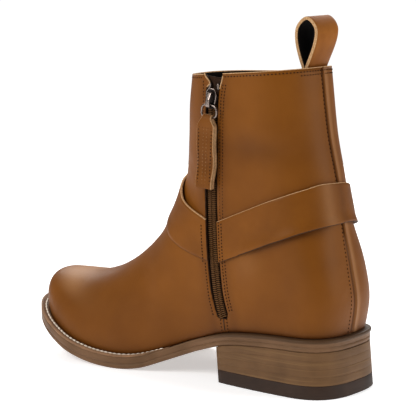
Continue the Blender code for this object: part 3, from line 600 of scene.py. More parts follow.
def place_verts(build, where):
    """Moves each vertex of a grid to where(u, v, level), with all of them worked out at once."""
    flat = np.array([vert.co for vert in build.verts])
    spots = where((flat[:, 0] + 1) / 2, flat[:, 1], np.round(flat[:, 2]).astype(int))
    for vert, spot in zip(build.verts, spots):
        vert.co = spot


def to_mesh(name, build):
    """Ends a bmesh as a mesh, with corners that fell together merged."""
    bmesh.ops.remove_doubles(build, verts=build.verts, dist=0.00002)
    data = bpy.data.meshes.new(name)
    build.to_mesh(data)
    build.free()
    return data


def slab(name, steps, across, levels, where, materials, paint=None):
    """A closed sheet: a grid pushed through its thickness, with each corner set by where(u, v, level).

    paint(u, v, level) gives a face's material, with a part level for the faces at the edges.
    """
    build = bmesh.new()
    bmesh.ops.create_grid(build, x_segments=steps, y_segments=across, size=1.0)
    for level in range(1, levels):
        top = [face for face in build.faces if all(vert.co.z > level - 1.5 for vert in face.verts)]
        pushed = bmesh.ops.extrude_face_region(build, geom=top)
        moved = [part for part in pushed["geom"] if isinstance(part, bmesh.types.BMVert)]
        bmesh.ops.translate(build, verts=moved, vec=(0.0, 0.0, 1.0))
        if level > 1:  # the sheet that was pushed on would stay inside, as a wall
            inside = [face for face in top if face.is_valid]
            bmesh.ops.delete(build, geom=inside, context="FACES_ONLY")
    if paint:
        for face in build.faces:
            middle_of = face.calc_center_median()
            face.material_index = paint((middle_of.x + 1) / 2, middle_of.y, round(middle_of.z, 2))
    place_verts(build, where)
    bmesh.ops.remove_doubles(build, verts=build.verts, dist=0.00001)
    bmesh.ops.recalc_face_normals(build, faces=build.faces)
    return show(name, to_mesh(name, build), materials)


# %% Wires
def tube(name, points, radius, sides, closed, materials, flat_way=(0.0, 0.0, 1.0)):
    """A round wire: a grid rolled up round its points, with the seam merged and open ends filled.

    flat_way is a way that the path never follows, which keeps the wire from twisting.
    """
    points = np.asarray(points, float)
    count = len(points)
    lengths = count if closed else count - 1
    way = np.roll(points, -1, 0) - np.roll(points, 1, 0)
    if not closed:
        way[0], way[-1] = points[1] - points[0], points[-1] - points[-2]
    way = unit(way)
    side = unit(np.cross(way, np.asarray(flat_way, float)))
    up = np.cross(side, way)

    def where(u, v, level):
        i = np.round(u * lengths).astype(int) % count
        angle = np.pi * (v + 1)[:, None]
        return points[i] + (side[i] * np.cos(angle) + up[i] * np.sin(angle)) * radius

    build = bmesh.new()
    bmesh.ops.create_grid(build, x_segments=lengths, y_segments=sides, size=1.0)
    place_verts(build, where)
    bmesh.ops.remove_doubles(build, verts=build.verts, dist=0.00001)
    bmesh.ops.holes_fill(build, edges=[rim for rim in build.edges if rim.is_boundary], sides=0)
    bmesh.ops.recalc_face_normals(build, faces=build.faces)
    return show(name, to_mesh(name, build), materials)


# %% Threads
THREAD_WIDTH = 0.0009
THREAD_HEIGHT = 0.0007
THREAD_LENGTH = 0.0014
THREAD_LIFT = 0.0001


def stitches(name, spots, ways, outs, length, width, height, materials):
    """A row of threads, each a small rounded bar that lies along its way and sinks into the leather."""
    build = bmesh.new()
    for spot, way, out in zip(spots, unit(ways), unit(outs)):
        side = np.cross(out, way)
        axes = (way * length / 2, side * width / 2, out * height / 2)
        turn = Matrix([tuple(axis) for axis in axes]).transposed().to_4x4()
        bmesh.ops.create_icosphere(build, subdivisions=1, radius=1.0, matrix=Matrix.Translation(spot) @ turn)
    data = bpy.data.meshes.new(name)
    build.to_mesh(data)
    build.free()
    return show(name, data, materials)


def spaced(points, pitch):
    """Points at an even pitch along a line of points, the ways there, and each one's share of the line."""
    run = np.r_[0.0, np.cumsum(np.linalg.norm(np.diff(points, axis=0), axis=1))]
    count = max(int(run[-1] / pitch), 2)
    at = (np.arange(count) + 0.5) * run[-1] / count
    spots = np.stack([np.interp(at, run, points[:, k]) for k in range(3)], -1)
    ahead = np.stack([np.interp(at + 0.0004, run, points[:, k]) for k in range(3)], -1)
    behind = np.stack([np.interp(at - 0.0004, run, points[:, k]) for k in range(3)], -1)
    return spots, ahead - behind, at / run[-1]


def attribute(item, name, values):
    """Stores a value at each vertex, which a material can read as a shade."""
    layer = item.data.attributes.new(name, "FLOAT", "POINT")
    layer.data.foreach_set("value", np.asarray(values, np.float32))


print("threads are", THREAD_LENGTH * 1000, "mm long")

# %% [markdown]
# ## Leather, thread, rubber and metal
#
# Each material starts from what the real one is and how its surface was made. Leather could be one flat
# brown with a bump, but it would look like plastic: real hide is cloudy where the dye took unevenly. So a
# colour is mixed from two tones by a noise in real sizes, then tinted by each piece's painted shade, painted
# highlight and darker tone. Patterns read Object coordinates, which are metres here.


# %% Helpers for materials
def linear(colour):
    """A hex colour, as seen on screen, as a linear one."""
    parts = [int(colour[i:i + 2], 16) / 255 for i in (1, 3, 5)]
    return (*(p / 12.92 if p <= 0.04045 else ((p + 0.055) / 1.055) ** 2.4 for p in parts), 1.0)


def node(tree, kind, inputs=None, **settings):
    """Adds a node with its settings, and gives each input a value or a link."""
    made = tree.nodes.new(kind)
    for key, value in settings.items():
        setattr(made, key, value)
    for key, value in (inputs or {}).items():
        if isinstance(value, bpy.types.NodeSocket):
            tree.links.new(value, made.inputs[key])
        else:
            made.inputs[key].default_value = value
    return made


def material(name, colour, roughness, metallic=0.0, **sockets):
    """A plain finish. Other sockets are named with an underscore for each space."""
    made = bpy.data.materials.new(name)
    made.use_nodes = True
    shader = made.node_tree.nodes["Principled BSDF"]
    shader.inputs["Base Color"].default_value = linear(colour)
    shader.inputs["Roughness"].default_value = roughness
    shader.inputs["Metallic"].default_value = metallic
    for key, value in sockets.items():
        shader.inputs[key.replace("_", " ")].default_value = value
    return made


# The grain of calf is about half as wide as this, and is drawn as coarse as the picture can show.
GRAIN_SIZE = 0.0006
GRAIN_RELIEF = 0.00008
WRINKLE_SIZE = 0.011
WRINKLE_RELIEF = 0.0008


def mottle(made, light, dark, size, detail=3.0, grain=0.0, shade=None, wrinkle=0.0):
    """Cloudy colour, tinted where an attribute says so, with grain and wrinkles in relief."""
    tree = made.node_tree
    shader = tree.nodes["Principled BSDF"]
    where = node(tree, "ShaderNodeTexCoord").outputs["Object"]
    cloud = node(tree, "ShaderNodeTexNoise", {"Vector": where, "Scale": 1 / size, "Detail": detail})
    ramp = node(tree, "ShaderNodeMapRange", {"Value": cloud.outputs["Fac"], "From Min": 0.3, "From Max": 0.7})
    mixed = node(tree, "ShaderNodeMix", {"Factor": ramp.outputs["Result"], 6: linear(light), 7: linear(dark)},
                 data_type="RGBA")
    colour = mixed.outputs[2]
    if shade:
        for name, tone in shade.items():
            amount = node(tree, "ShaderNodeAttribute", attribute_name=name).outputs["Fac"]
            mixed = node(tree, "ShaderNodeMix", {"Factor": amount, 6: colour, 7: linear(tone)},
                         data_type="RGBA")
            colour = mixed.outputs[2]
    tree.links.new(colour, shader.inputs["Base Color"])
    if grain:
        fine = node(tree, "ShaderNodeTexNoise", {"Vector": where, "Scale": 1 / GRAIN_SIZE, "Detail": 2.0})
        raised = node(tree, "ShaderNodeBump",
                      {"Strength": grain, "Distance": GRAIN_RELIEF, "Height": fine.outputs["Fac"]})
        if wrinkle:
            soft = node(tree, "ShaderNodeTexNoise",
                        {"Vector": where, "Scale": 1 / WRINKLE_SIZE, "Detail": 4.0})
            raised = node(tree, "ShaderNodeBump", {
                "Strength": wrinkle, "Distance": WRINKLE_RELIEF, "Height": soft.outputs["Fac"],
                "Normal": raised.outputs["Normal"],
            })
        tree.links.new(raised.outputs["Normal"], shader.inputs["Normal"])
    return made


print("pale orange on screen is", [round(part, 3) for part in linear("#FFCC99")[:3]])

# %% Leathers
# Waxed calf: the wax tints its weak highlights warm.
WARM = (1.0, 0.86, 0.68, 1.0)

# Drum-dyed calf with a soft wax finish: a cloudy tan, darkened by painted shade and lightened by painted
# highlights.
tan_leather = mottle(
    material("tan leather", "#78430F", 0.48, Specular_IOR_Level=0.17, Specular_Tint=WARM),
    "#7A4610", "#693A0B", 0.045, detail=6.0, grain=0.35, wrinkle=0.35,
    shade={"painted_shade_and_tone": "#43210A", "painted_highlight": "#A5764C"},
)
# The same calf cut as a strap: smaller clouds and more wrinkles, because it bends at each step.
strap_leather = mottle(
    material("strap leather", "#78430F", 0.48, Specular_IOR_Level=0.17, Specular_Tint=WARM),
    "#7A4610", "#66380A", 0.03, detail=6.0, grain=0.45, wrinkle=0.40,
    shade={"painted_shade_and_tone": "#43210A", "painted_highlight": "#A5764C"},
)
# The same calf worn by fingers: lighter, duller and rougher to the eye.
loop_leather = mottle(
    material("loop leather", "#8E5420", 0.6, Specular_IOR_Level=0.10, Specular_Tint=WARM),
    "#955A22", "#824A17", 0.012, detail=6.0, grain=0.55, wrinkle=0.3, shade={"painted_shade_and_tone": "#5A3010"},
)
# Cut calf, left raw: pale, matt and fibrous, a light line along each edge.
raw_edge = mottle(
    material("raw leather edge", "#B08A5E", 0.9, Specular_IOR_Level=0.15),
    "#CFA77C", "#A47B50", 0.0009, grain=0.8,
)
# Cut calf brushed with dark edge ink: nearly black brown, and a little smoother than the raw cut. On the
# strap's lower edge the same dark is painted shade.
inked_and_shaded_edge = mottle(
    material("inked and shaded leather edge", "#3A2413", 0.7, Specular_IOR_Level=0.2),
    "#4A2F1A", "#2C1B0E", 0.0015, grain=0.5,
)
# Dark leather lining: almost black, so that the inside reads as depth.
lining = mottle(
    material("dark lining", "#120E0C", 0.95, Specular_IOR_Level=0.1), "#15100E", "#0B0908", 0.004,
)
# Vegetable-tanned leather strip: a greyer brown than the upper, which sets the welt apart.
welt_leather = mottle(
    material("welt leather", "#8A6444", 0.6, Specular_IOR_Level=0.3), "#8C6544", "#6E4F34", 0.01, grain=0.4,
)
# Sole leather, ground and burnished with wax: a soft shine, darker from just below the lip upwards round the
# heel seat.
sole_edge = mottle(
    material("burnished sole edge", "#674A30", 0.5, Specular_IOR_Level=0.2, Specular_Tint=WARM),
    "#70523A", "#5E432D", 0.02, grain=0.3, shade={"painted_shade_and_tone": "#3E2A1A"},
)
# Smooth dark insole leather, seen only as a dull floor inside the boot.
insole_leather = mottle(material("insole leather", "#2A1D15", 0.8), "#2E2018", "#231811", 0.006)
print("leathers made:", len(bpy.data.materials))

# %% Thread, cloth, rubber and metal
# Waxed polyester thread: a matt dash along each seam, coloured near black as painted shade in its stitch
# hole.
thread = material("thread with painted hole shade", "#2A1507", 0.85, Specular_IOR_Level=0.15)
# The tab's middle rows of thread, paled as painted highlights on their pinholes: lighter than the leather.
highlight_thread = material("thread with painted highlight", "#8E6138", 0.8, Specular_IOR_Level=0.2)
# Thick undyed linen thread: cream beads round the welt.
cream_thread = mottle(material("cream thread", "#E0CDB8", 0.8), "#FFF4E6", "#E0CDB4", 0.001)
# Moulded nitrile rubber: dull and even, a dark foot under the heel.
heel_rubber = mottle(
    material("heel rubber", "#35251B", 0.6, Specular_IOR_Level=0.2), "#39281E", "#2E2018", 0.015, grain=0.4,
)
# Woven polyester tape: its weave shows as a dark matt roughness.
tape_cloth = mottle(
    material("zip tape", "#1E130C", 0.9, Specular_IOR_Level=0.1), "#382519", "#22160F", 0.001, grain=0.6,
)
# Bronze-coloured nylon coil: a brown chain with small warm glints.
coil = material("zip coil", "#6B4828", 0.55, Specular_IOR_Level=0.12, Specular_Tint=WARM)
# Zinc plated in polished gunmetal: bright edges on a grey, slightly warm metal.
gunmetal = material("gunmetal", "#8A7C74", 0.26, 1.0)
# The same zinc, blackened: the plate reads dark between its bright rims.
gunmetal_dark = material("blackened metal", "#2C2624", 0.35, 1.0)
print("materials so far:", len(bpy.data.materials))

# %% [markdown]
# ## Stacked leather of the heel
#
# A heel is a stack of leather layers, glued, ground flush and waxed. Each layer could be a mesh of its
# own, and the four thick lifts are, but the fine lines inside them are thinner than a pixel. So they are a
# noise squeezed flat, which gives level streaks round the whole heel.


# %% Stacked leather
STREAKS = (14.0, 14.0, 900.0)


def stack(made, light, dark, line):
    """Worn layers: fine level lines through a clouded colour."""
    mottle(made, light, dark, 0.018, grain=0.3)
    tree = made.node_tree
    shader = tree.nodes["Principled BSDF"]
    base = shader.inputs["Base Color"].links[0].from_socket
    where = node(tree, "ShaderNodeTexCoord").outputs["Object"]
    flat = node(tree, "ShaderNodeMapping", {"Vector": where, "Scale": STREAKS})
    streak = node(tree, "ShaderNodeTexNoise", {"Vector": flat.outputs["Vector"], "Scale": 1.0, "Detail": 2.0})
    amount = node(tree, "ShaderNodeMapRange",
                  {"Value": streak.outputs["Fac"], "From Min": 0.52, "From Max": 0.80, "To Max": 0.55})
    mixed = node(tree, "ShaderNodeMix", {"Factor": amount.outputs["Result"], 6: base, 7: linear(line)},
                 data_type="RGBA")
    tree.links.new(mixed.outputs[2], shader.inputs["Base Color"])
    return made


heel_stack = stack(
    material("stacked heel", "#694B30", 0.55, Specular_IOR_Level=0.2, Specular_Tint=WARM),
    "#6C4E33", "#5A402A", "#80613F",
)
print("materials:", len(bpy.data.materials))

# %% [markdown]
# ## Upper
#
# The upper is calf, about 2 mm thick, sewn up the back and pulled over the last. It could be a plain tube
# with a bump map, but its folds show in the outline, so they are in the mesh: the skin's formula on a fine
# grid, with a relief added. The relief holds the back seam, a soft fold up the shaft, a crease at the
# throat and the swell of the counter, the stiffener round the heel.

# %% Relief of the upper
UPPER_ROWS = 230
UPPER_COLUMNS = 100
SEAM_GROOVE = 0.0009
SEAM_RIDGE = 0.0006
FOLD_DEPTH = 0.0010
FRONT_FULLNESS = 0.0012
ANKLE_FULLNESS = 0.0020
COUNTER_FULLNESS = 0.0013
THROAT_CREASE = 0.0008
COLUMN_CROWDING = 1.35


def upper_turn(v):
    """Columns crowd towards the back seam."""
    return np.sign(v) * (1 - (1 - np.abs(v)) ** COLUMN_CROWDING)


def relief(at_section, turn, point):
    """How far the leather stands in or out of the plain skin."""
    rise = (point[..., 2] - SEAT_HEIGHT) / SHAFT_HEIGHT
    on_back = blend(HEEL_CORNER - 0.2, HEEL_CORNER + 0.5, at_section) * (np.abs(turn) > 0.5)
    across = point[..., 0]
    seam = (SEAM_RIDGE * bump(-0.0016, 0.0010, across) - SEAM_GROOVE * bump(0.0, 0.0006, across)) * on_back
    inner = turn > 0
    fold = -FOLD_DEPTH * bump(0.68, 0.045, rise) * bump(0.66, 0.16, turn) * inner
    crest = 0.5 * FOLD_DEPTH * bump(0.79, 0.05, rise) * bump(0.62, 0.16, turn) * inner
    crease = -THROAT_CREASE * bump(0.33, 0.05, rise) * bump(0.10, 0.16, np.abs(turn))
    fullness = FRONT_FULLNESS * bump(0.74, 0.20, rise) + ANKLE_FULLNESS * bump(0.50, 0.13, rise)
    front = bump(0.0, 0.28, turn) * fullness
    share = (HEEL_MIDDLE - point[..., 1]) / LAST_LENGTH
    counter = COUNTER_FULLNESS * bump(0.23, 0.08, rise) * bump(0.215, 0.055, share) * inner
    return seam + fold + crest + crease + front + counter


def upper_where(u, v, level):
    """A point of the upper, with its relief, kept clear of the sole."""
    at_section, turn = u * LAST_SECTION, upper_turn(v)
    point = skin(at_section, turn)
    shift = relief(at_section, turn, point)
    point = point + skin_normal(at_section, turn) * shift[..., None]
    floor = feather(HEEL_MIDDLE - point[..., 1]) + FIT_GAP
    point[..., 2] = np.maximum(point[..., 2], floor)
    return point


print("upper's grid:", UPPER_ROWS, "by", 2 * UPPER_COLUMNS)

# %% [markdown]
# ## Shades and wall of the upper
#
# Painted shade darkens the leather above the sole, in the back seam's groove, in the fold and on the counter,
# and the leather is also darker along the zip's stitch rows. Painted highlights lighten the toe box, the
# ridge beside the back seam and the counter. These could be painted by hand. Here they are two numbers at
# each vertex, worked out from its place: the first darkens and the second lightens. A Solidify modifier then
# gives the leather its thickness, inwards.


# %% Shades of the upper
SHADE_LIMIT = 0.9
SOLE_SHADE_LINE = 0.0022
SOLE_SHADE_REACH = 0.012


def upper_painted_shade_and_tone(spots, along, rise, above_sole):
    """Painted shade above the sole, in the back seam's groove, in the fold and on the counter; darker by the
    zip.
    """
    inner = spots[:, 0] > 0
    by_zip = np.abs(along - zip_along(rise) * LAST_LENGTH) * inner + ~inner
    painted_shade_and_tone = 0.75 * np.exp(-above_sole / SOLE_SHADE_LINE)
    painted_shade_and_tone += 0.30 * np.exp(-above_sole / SOLE_SHADE_REACH)
    painted_shade_and_tone += 0.95 * bump(0.0, 0.0008, spots[:, 0]) * (along < 0.05)
    painted_shade_and_tone += 0.42 * bump(0.70, 0.055, rise) * bump(0.22, 0.10, along / LAST_LENGTH) * inner
    painted_shade_and_tone += 0.25 * bump(0.0085, 0.004, by_zip)
    painted_shade_and_tone += 0.20 * bump(0.10, 0.05, along / LAST_LENGTH) * bump(0.20, 0.14, rise) * inner
    return np.clip(painted_shade_and_tone, 0.0, SHADE_LIMIT)


def upper_painted_highlight(spots, along, rise, above_sole):
    """Painted highlights on the toe box, on the ridge beside the back seam and on the counter."""
    inner = spots[:, 0] > 0
    painted_highlight = 0.75 * bump(0.90, 0.07, along / LAST_LENGTH) * blend(0.022, 0.036, above_sole)
    painted_highlight += 0.50 * bump(0.0045, 0.0022, -spots[:, 0]) * (along < 0.05)
    painted_highlight += 0.14 * bump(0.26, 0.05, rise) * bump(0.235, 0.045, along / LAST_LENGTH) * inner
    return np.clip(painted_highlight, 0.0, SHADE_LIMIT)


# %% Upper with its shades
def make_upper():
    """The skin's grid with its faces outwards, its shades and its wall."""
    build = bmesh.new()
    bmesh.ops.create_grid(build, x_segments=UPPER_ROWS, y_segments=2 * UPPER_COLUMNS, size=1.0)
    place_verts(build, upper_where)
    bmesh.ops.remove_doubles(build, verts=build.verts, dist=0.00002)
    bmesh.ops.recalc_face_normals(build, faces=build.faces)
    side = [face for face in build.faces if face.calc_center_median().x > BALL_WIDTH / 4]
    if sum(face.normal.x for face in side) < 0:
        bmesh.ops.reverse_faces(build, faces=build.faces)
    finishes = [tan_leather, lining, raw_edge, inked_and_shaded_edge]
    upper = show("upper_leather", to_mesh("upper_leather", build), finishes)
    spots = np.array([vert.co for vert in upper.data.vertices])
    along, rise = HEEL_MIDDLE - spots[:, 1], (spots[:, 2] - SEAT_HEIGHT) / SHAFT_HEIGHT
    above_sole = spots[:, 2] - feather(along)
    # Painted shade and painted highlights, as two numbers at each vertex.
    attribute(upper, "painted_shade_and_tone", upper_painted_shade_and_tone(spots, along, rise, above_sole))
    attribute(upper, "painted_highlight", upper_painted_highlight(spots, along, rise, above_sole))
    wall = upper.modifiers.new("wall", "SOLIDIFY")
    wall.thickness = UPPER_WALL
    wall.offset = -1.0
    wall.use_even_offset = True
    wall.material_offset = 1
    wall.material_offset_rim = 2
    return upper


upper = make_upper()
print("upper before the slot:", len(upper.data.polygons), "faces")

# %% [markdown]
# ## Slot for the zip
#
# The zip sits in a slot that is cut down the inner side, wider at its mouth, with a small flap by its
# front edge. The grid could be laid out round the slot, but its edges would then spoil the smooth folds.
# So a thick sheet in the shape of the slot is taken away from the wall by a Boolean, and the cut faces get
# the sheet's edge ink.

# %% Slot
SLOT_FRONT_EXTRA = 0.0010
SLOT_MOUTH_EXTRA = 0.0010
MOUTH_FLAP = 0.0040
FLAP_RISE = COLLAR_RISE - 0.0058 / SHAFT_HEIGHT
FLAP_REACH = 0.0030 / SHAFT_HEIGHT
SLOT_LENGTH = COLLAR_RISE + 0.06 - ZIP_FOOT


def slot_where(u, v, level):
    """The slot's sheet: up it, from its rear to its front edge, and through the wall."""
    rise = ZIP_FOOT + SLOT_LENGTH * u
    front_edge = SLOT_FRONT_EXTRA * (v + 1) / 2 * blend(ZIP_FOOT + 0.02, ZIP_FOOT + 0.15, rise)
    mouth = SLOT_MOUTH_EXTRA * blend(COLLAR_RISE - 0.05, COLLAR_RISE, rise)
    front_edge = front_edge - MOUTH_FLAP * (v + 1) / 2 * bump(FLAP_RISE, FLAP_REACH, rise)
    return zip_point(rise, -v * (zip_half_width(rise) + mouth) - front_edge, (2 * level - 1) * 3 * UPPER_WALL)


slot_cutter = slab("slot_cutter", 70, 6, 2, slot_where, [inked_and_shaded_edge])
cut = upper.modifiers.new("zip slot", "BOOLEAN")
cut.operation = "DIFFERENCE"
cut.solver = "EXACT"
cut.material_mode = "TRANSFER"
cut.object = slot_cutter
graph = bpy.context.evaluated_depsgraph_get()
cut_data = bpy.data.meshes.new_from_object(upper.evaluated_get(graph))
upper.modifiers.clear()
upper.data = cut_data
bpy.data.objects.remove(slot_cutter, do_unlink=True)
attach(upper, "boot")
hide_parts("upper")
print("upper:", len(upper.data.polygons), "faces")

# %% [markdown]
# ## Strap
#
# One band of calf runs from the zip's rear edge round the heel and over the instep to the zip's front
# edge. It could be a straight strip bent by a curve, but its real edges rise and fall on their own. So a
# table holds both edges as heights at each lap, where a lap counts the way round: 0 at the front ridge, 1
# at the back, 2 at the front again. Between them the band spans hollows, as stiff leather does, instead of
# sinking into them.

# %% Edges of the strap
STRAP_STEPS = 220
STRAP_ACROSS = 14
HALF_RISE = STRAP_WIDTH / 2 / SHAFT_HEIGHT
LOWER_EDGE_GAP = 0.0012
FRONT_END_REACH = 0.0012
FRONT_FLATTEN = 0.0021
STRAP_EDGES = [
    {"name": "zip rear", "lap": 0.400, "low": 0.2505, "top": 0.411},
    {"name": "corner", "lap": 0.410, "low": 0.265, "top": 0.415},
    {"name": "corner end", "lap": 0.420, "low": 0.280, "top": 0.420},
    {"name": "zip side", "lap": 0.430, "low": 0.2895, "top": 0.424},
    {"name": "ankle start", "lap": 0.450, "low": 0.297, "top": 0.4325},
    {"name": "inner ankle", "lap": 0.480, "low": 0.308, "top": 0.4445},
    {"name": "inner side", "lap": 0.556, "low": 0.3335, "top": 0.474},
    {"name": "inner heel", "lap": 0.680, "low": 0.367, "top": 0.5185},
    {"name": "heel turn", "lap": 0.800, "low": 0.396, "top": 0.5525},
    {"name": "heel", "lap": 0.930, "low": 0.4155, "top": 0.574},
    {"name": "back", "lap": 1.030, "low": 0.421, "top": 0.5715},
    {"name": "outer heel", "lap": 1.250, "low": 0.462 - HALF_RISE, "top": 0.462 + HALF_RISE},
    {"name": "outer side", "lap": 1.550, "low": 0.400 - HALF_RISE, "top": 0.400 + HALF_RISE},
    {"name": "outer front", "lap": 1.800, "low": 0.453 - HALF_RISE, "top": 0.435 + HALF_RISE},
    {"name": "front", "lap": 2.000, "low": 0.530 - HALF_RISE, "top": 0.496 + HALF_RISE},
    {"name": "inner front", "lap": 2.200, "low": 0.473 - HALF_RISE, "top": 0.450 + HALF_RISE},
    {"name": "inner fold", "lap": 2.310, "low": 0.398 - HALF_RISE, "top": 0.392 + HALF_RISE},
    {"name": "zip front", "lap": 2.420, "low": 0.329 - HALF_RISE, "top": 0.337 + HALF_RISE},
]
strap_low = column(STRAP_EDGES, "low", "lap")
strap_top = column(STRAP_EDGES, "top", "lap")
FIRST_LAP = STRAP_EDGES[0]["lap"]
LAST_LAP = STRAP_EDGES[-1]["lap"]


def strap_edge_lap(height, rear):
    """The lap at which the strap is trimmed along the zip, at a height."""
    rise = (height - SEAT_HEIGHT) / SHAFT_HEIGHT
    half = zip_half_width(rise) + CURVE_GAP
    along = zip_along(rise) * LAST_LENGTH + (-half if rear else half - FRONT_END_REACH)
    return section_at(along, height)[1] + (0 if rear else 2)


print("strap's laps:", FIRST_LAP, "to", LAST_LAP)


# %% Strap
def strap_point(u, v, out):
    """A point of the strap: u along it, v from its lower to its upper edge, and out of its inner face."""
    lap_here = FIRST_LAP + (LAST_LAP - FIRST_LAP) * u
    low_height = SEAT_HEIGHT + SHAFT_HEIGHT * strap_low(lap_here)
    top_height = SEAT_HEIGHT + SHAFT_HEIGHT * strap_top(lap_here)
    height = low_height + (top_height - low_height) * (v + 1) / 2
    first, last = strap_edge_lap(height, True), strap_edge_lap(height, False)
    lap = first + (last - first) * u
    turn = np.where(lap <= 1, lap, lap - 2)
    at_section = section_at_height(turn, height)
    base, way = skin(at_section, turn), skin_normal(at_section, turn)
    top = skin(section_at_height(turn, top_height), turn)
    low = skin(section_at_height(turn, low_height), turn)
    chord = low + (top - low) * ((v + 1) / 2)[..., None]
    lift = CURVE_GAP + np.maximum(((chord - base) * way).sum(-1), 0.0)
    lift = lift + STRAP_STAND_OFF * strap_off(lap) * blend(1.0, 0.94, u) * (v + 1) / 2
    lift = lift - FRONT_FLATTEN * bump(2.0, 0.18, lap) * bump(-0.3, 1.1, v)
    lift = lift + LOWER_EDGE_GAP * bump(-1.0, 0.30, v) * blend(0.01, 0.05, u) * blend(0.45, 0.35, u)
    return base + way * (lift + out)[..., None]


def strap_where(u, v, level):
    """Steps crowd at both ends, and the outer levels draw in so that the edges are rounded."""
    u = (1 - np.cos(np.pi * u)) / 2
    inset = 0.0004 / (STRAP_WIDTH / 2)
    squeeze = np.where((level == 0) | (level == 3), 1 - inset, 1.0)
    out = np.array([0.0, 0.25, 0.75, 1.0])[level] * STRAP_WALL
    return strap_point(u, v * squeeze, out)


def strap_paint(u, v, level):
    """The upper edge shows raw leather, the ends trimmed at the zip are inked, and the lower edge is painted
    shade.
    """
    if level == int(level):
        return 0
    return 1 if v > 0.999 else 2


strap_finishes = [strap_leather, raw_edge, inked_and_shaded_edge]
strap = slab("strap_leather", STRAP_STEPS, STRAP_ACROSS, 4, strap_where, strap_finishes, strap_paint)
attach(strap, "boot")
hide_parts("strap")
spots = np.array([vert.co for vert in strap.data.vertices])
# The strap is darker along the back's middle, and a painted highlight lies just to the inner side of it.
attribute(strap, "painted_shade_and_tone", 0.35 * bump(0.0, 0.004, spots[:, 0]) * (spots[:, 1] > 0))
attribute(strap, "painted_highlight", 0.26 * bump(0.0135, 0.0050, spots[:, 0]) * (spots[:, 1] > 0))
print("strap:", len(strap.data.polygons), "faces")

# %% [markdown]
# ## Shade under the strap
#
# A shadow falls just below a strap's edge, and that dark line makes the band stand off the boot. It could be
# left to the light, but soft light hardly casts it. So it is a painted shadow: the upper's painted shade is
# raised near the edge.

# %% Shade under the strap
UNDER_SHADE_REACH = 0.0022


def shade_under_strap():
    """Paints a shadow on the leather just below the strap's lower edge."""
    spots = np.array([vert.co for vert in upper.data.vertices])
    rise = (spots[:, 2] - SEAT_HEIGHT) / SHAFT_HEIGHT
    near = (spots[:, 0] > 0) & (rise > 0.20) & (rise < 0.46)
    along, height = HEEL_MIDDLE - spots[near, 1], spots[near, 2]
    lap = section_at(along, height)[1]
    first, last = strap_edge_lap(height, True), strap_edge_lap(height, False)
    behind = lap > first
    lap_here = FIRST_LAP + (LAST_LAP - FIRST_LAP) * (lap - first) / (last - first)
    below = (strap_low(lap_here) - rise[near]) * SHAFT_HEIGHT
    shade = 0.75 * np.exp(-np.clip(below, 0.0, None) / UNDER_SHADE_REACH) * (below > -0.004) * behind
    shade = shade * blend(0.42, 0.55, lap_here) * blend(1.0, 0.88, lap_here)
    layer = upper.data.attributes["painted_shade_and_tone"]
    values = np.empty(len(spots), np.float32)
    layer.data.foreach_get("value", values)
    values[near] = np.maximum(values[near], shade)
    layer.data.foreach_set("value", values)


shade_under_strap()
print("shade reaches", UNDER_SHADE_REACH * 1000, "mm below the strap")

# %% [markdown]
# ## Sole
#
# Under the upper lie an insole, a midsole and a thin outsole, cut to one outline and ground flush. They
# could be one extruded curve, but the sole bends along its length and each layer has edges of its own. So
# each layer is a sheet between the two sides of the outline, and a short list gives each level's share of
# the thickness and how far its edge is drawn in. Round the heel seat the midsole's edge rolls out into a
# lip.


# %% Outline of the sole
def outline(turn):
    """The last's edge in plan, from the heel at 0, along the inner side, to the toe at pi and back."""
    along = LAST_LENGTH * (1 - np.cos(turn)) / 2
    share = along / LAST_LENGTH
    inner = np.sin(turn) >= 0
    half = BALL_WIDTH * np.where(inner, plan_inner(share), plan_outer(share))
    half = half * rounding(LAST_LENGTH - along, TOE_ROUND_LENGTH, TOE_POWER)
    half = half * rounding(along, HEEL_ROUND_LENGTH, HEEL_POWER)
    return np.stack([along, middle(along) + np.where(inner, half, -half)], -1)


def edge(turn, out):
    """The outline pushed out by a distance."""
    step = 0.02
    way = unit(outline(turn + step) - outline(turn - step))
    away = np.stack([-way[..., 1], way[..., 0]], -1)
    return outline(turn) + away * np.asarray(out)[..., None]


def sole_out(turn):
    """How far the sole stands out beyond the last."""
    return edge_out((1 - np.cos(turn)) / 2)


def sole_where(u, v, out, height):
    """A point of a layer: u from heel to toe and v across, for an edge and a height."""
    turn = np.pi * (u + WAIST_CROWDING * np.sin(2 * np.pi * u))
    inner_rim, outer_rim = edge(turn, out(turn)), edge(-turn, out(turn))
    at = outer_rim + (inner_rim - outer_rim) * ((v + 1) / 2)[..., None]
    return place(at[..., 0], at[..., 1], height(at[..., 0]))


def layered(levels):
    """Looks up each level's values: (share of thickness, how far in from the edge in metres)."""
    ups = np.array([row[0] for row in levels])
    ins = np.array([row[1] for row in levels])
    return lambda level: ups[level], lambda level: ins[level]


print("half width at the ball:", round(float(outline(np.array(1.9))[1]), 4))

# %% Outsole, midsole and insole
INSOLE_INSET = 0.0022
INSOLE_THICKNESS = 0.0020


def outsole_where(u, v, level):
    """The thin layer that meets the floor, with its lower edge rounded."""
    up, inset = layered([(0.0, 0.0011), (0.08, 0.0006), (0.30, 0.0001), (1.0, 0.0)])
    return sole_where(
        u, v, lambda turn: sole_out(turn) - inset(level),
        lambda along: sole_base(along) + up(level) * OUTSOLE_THICKNESS,
    )


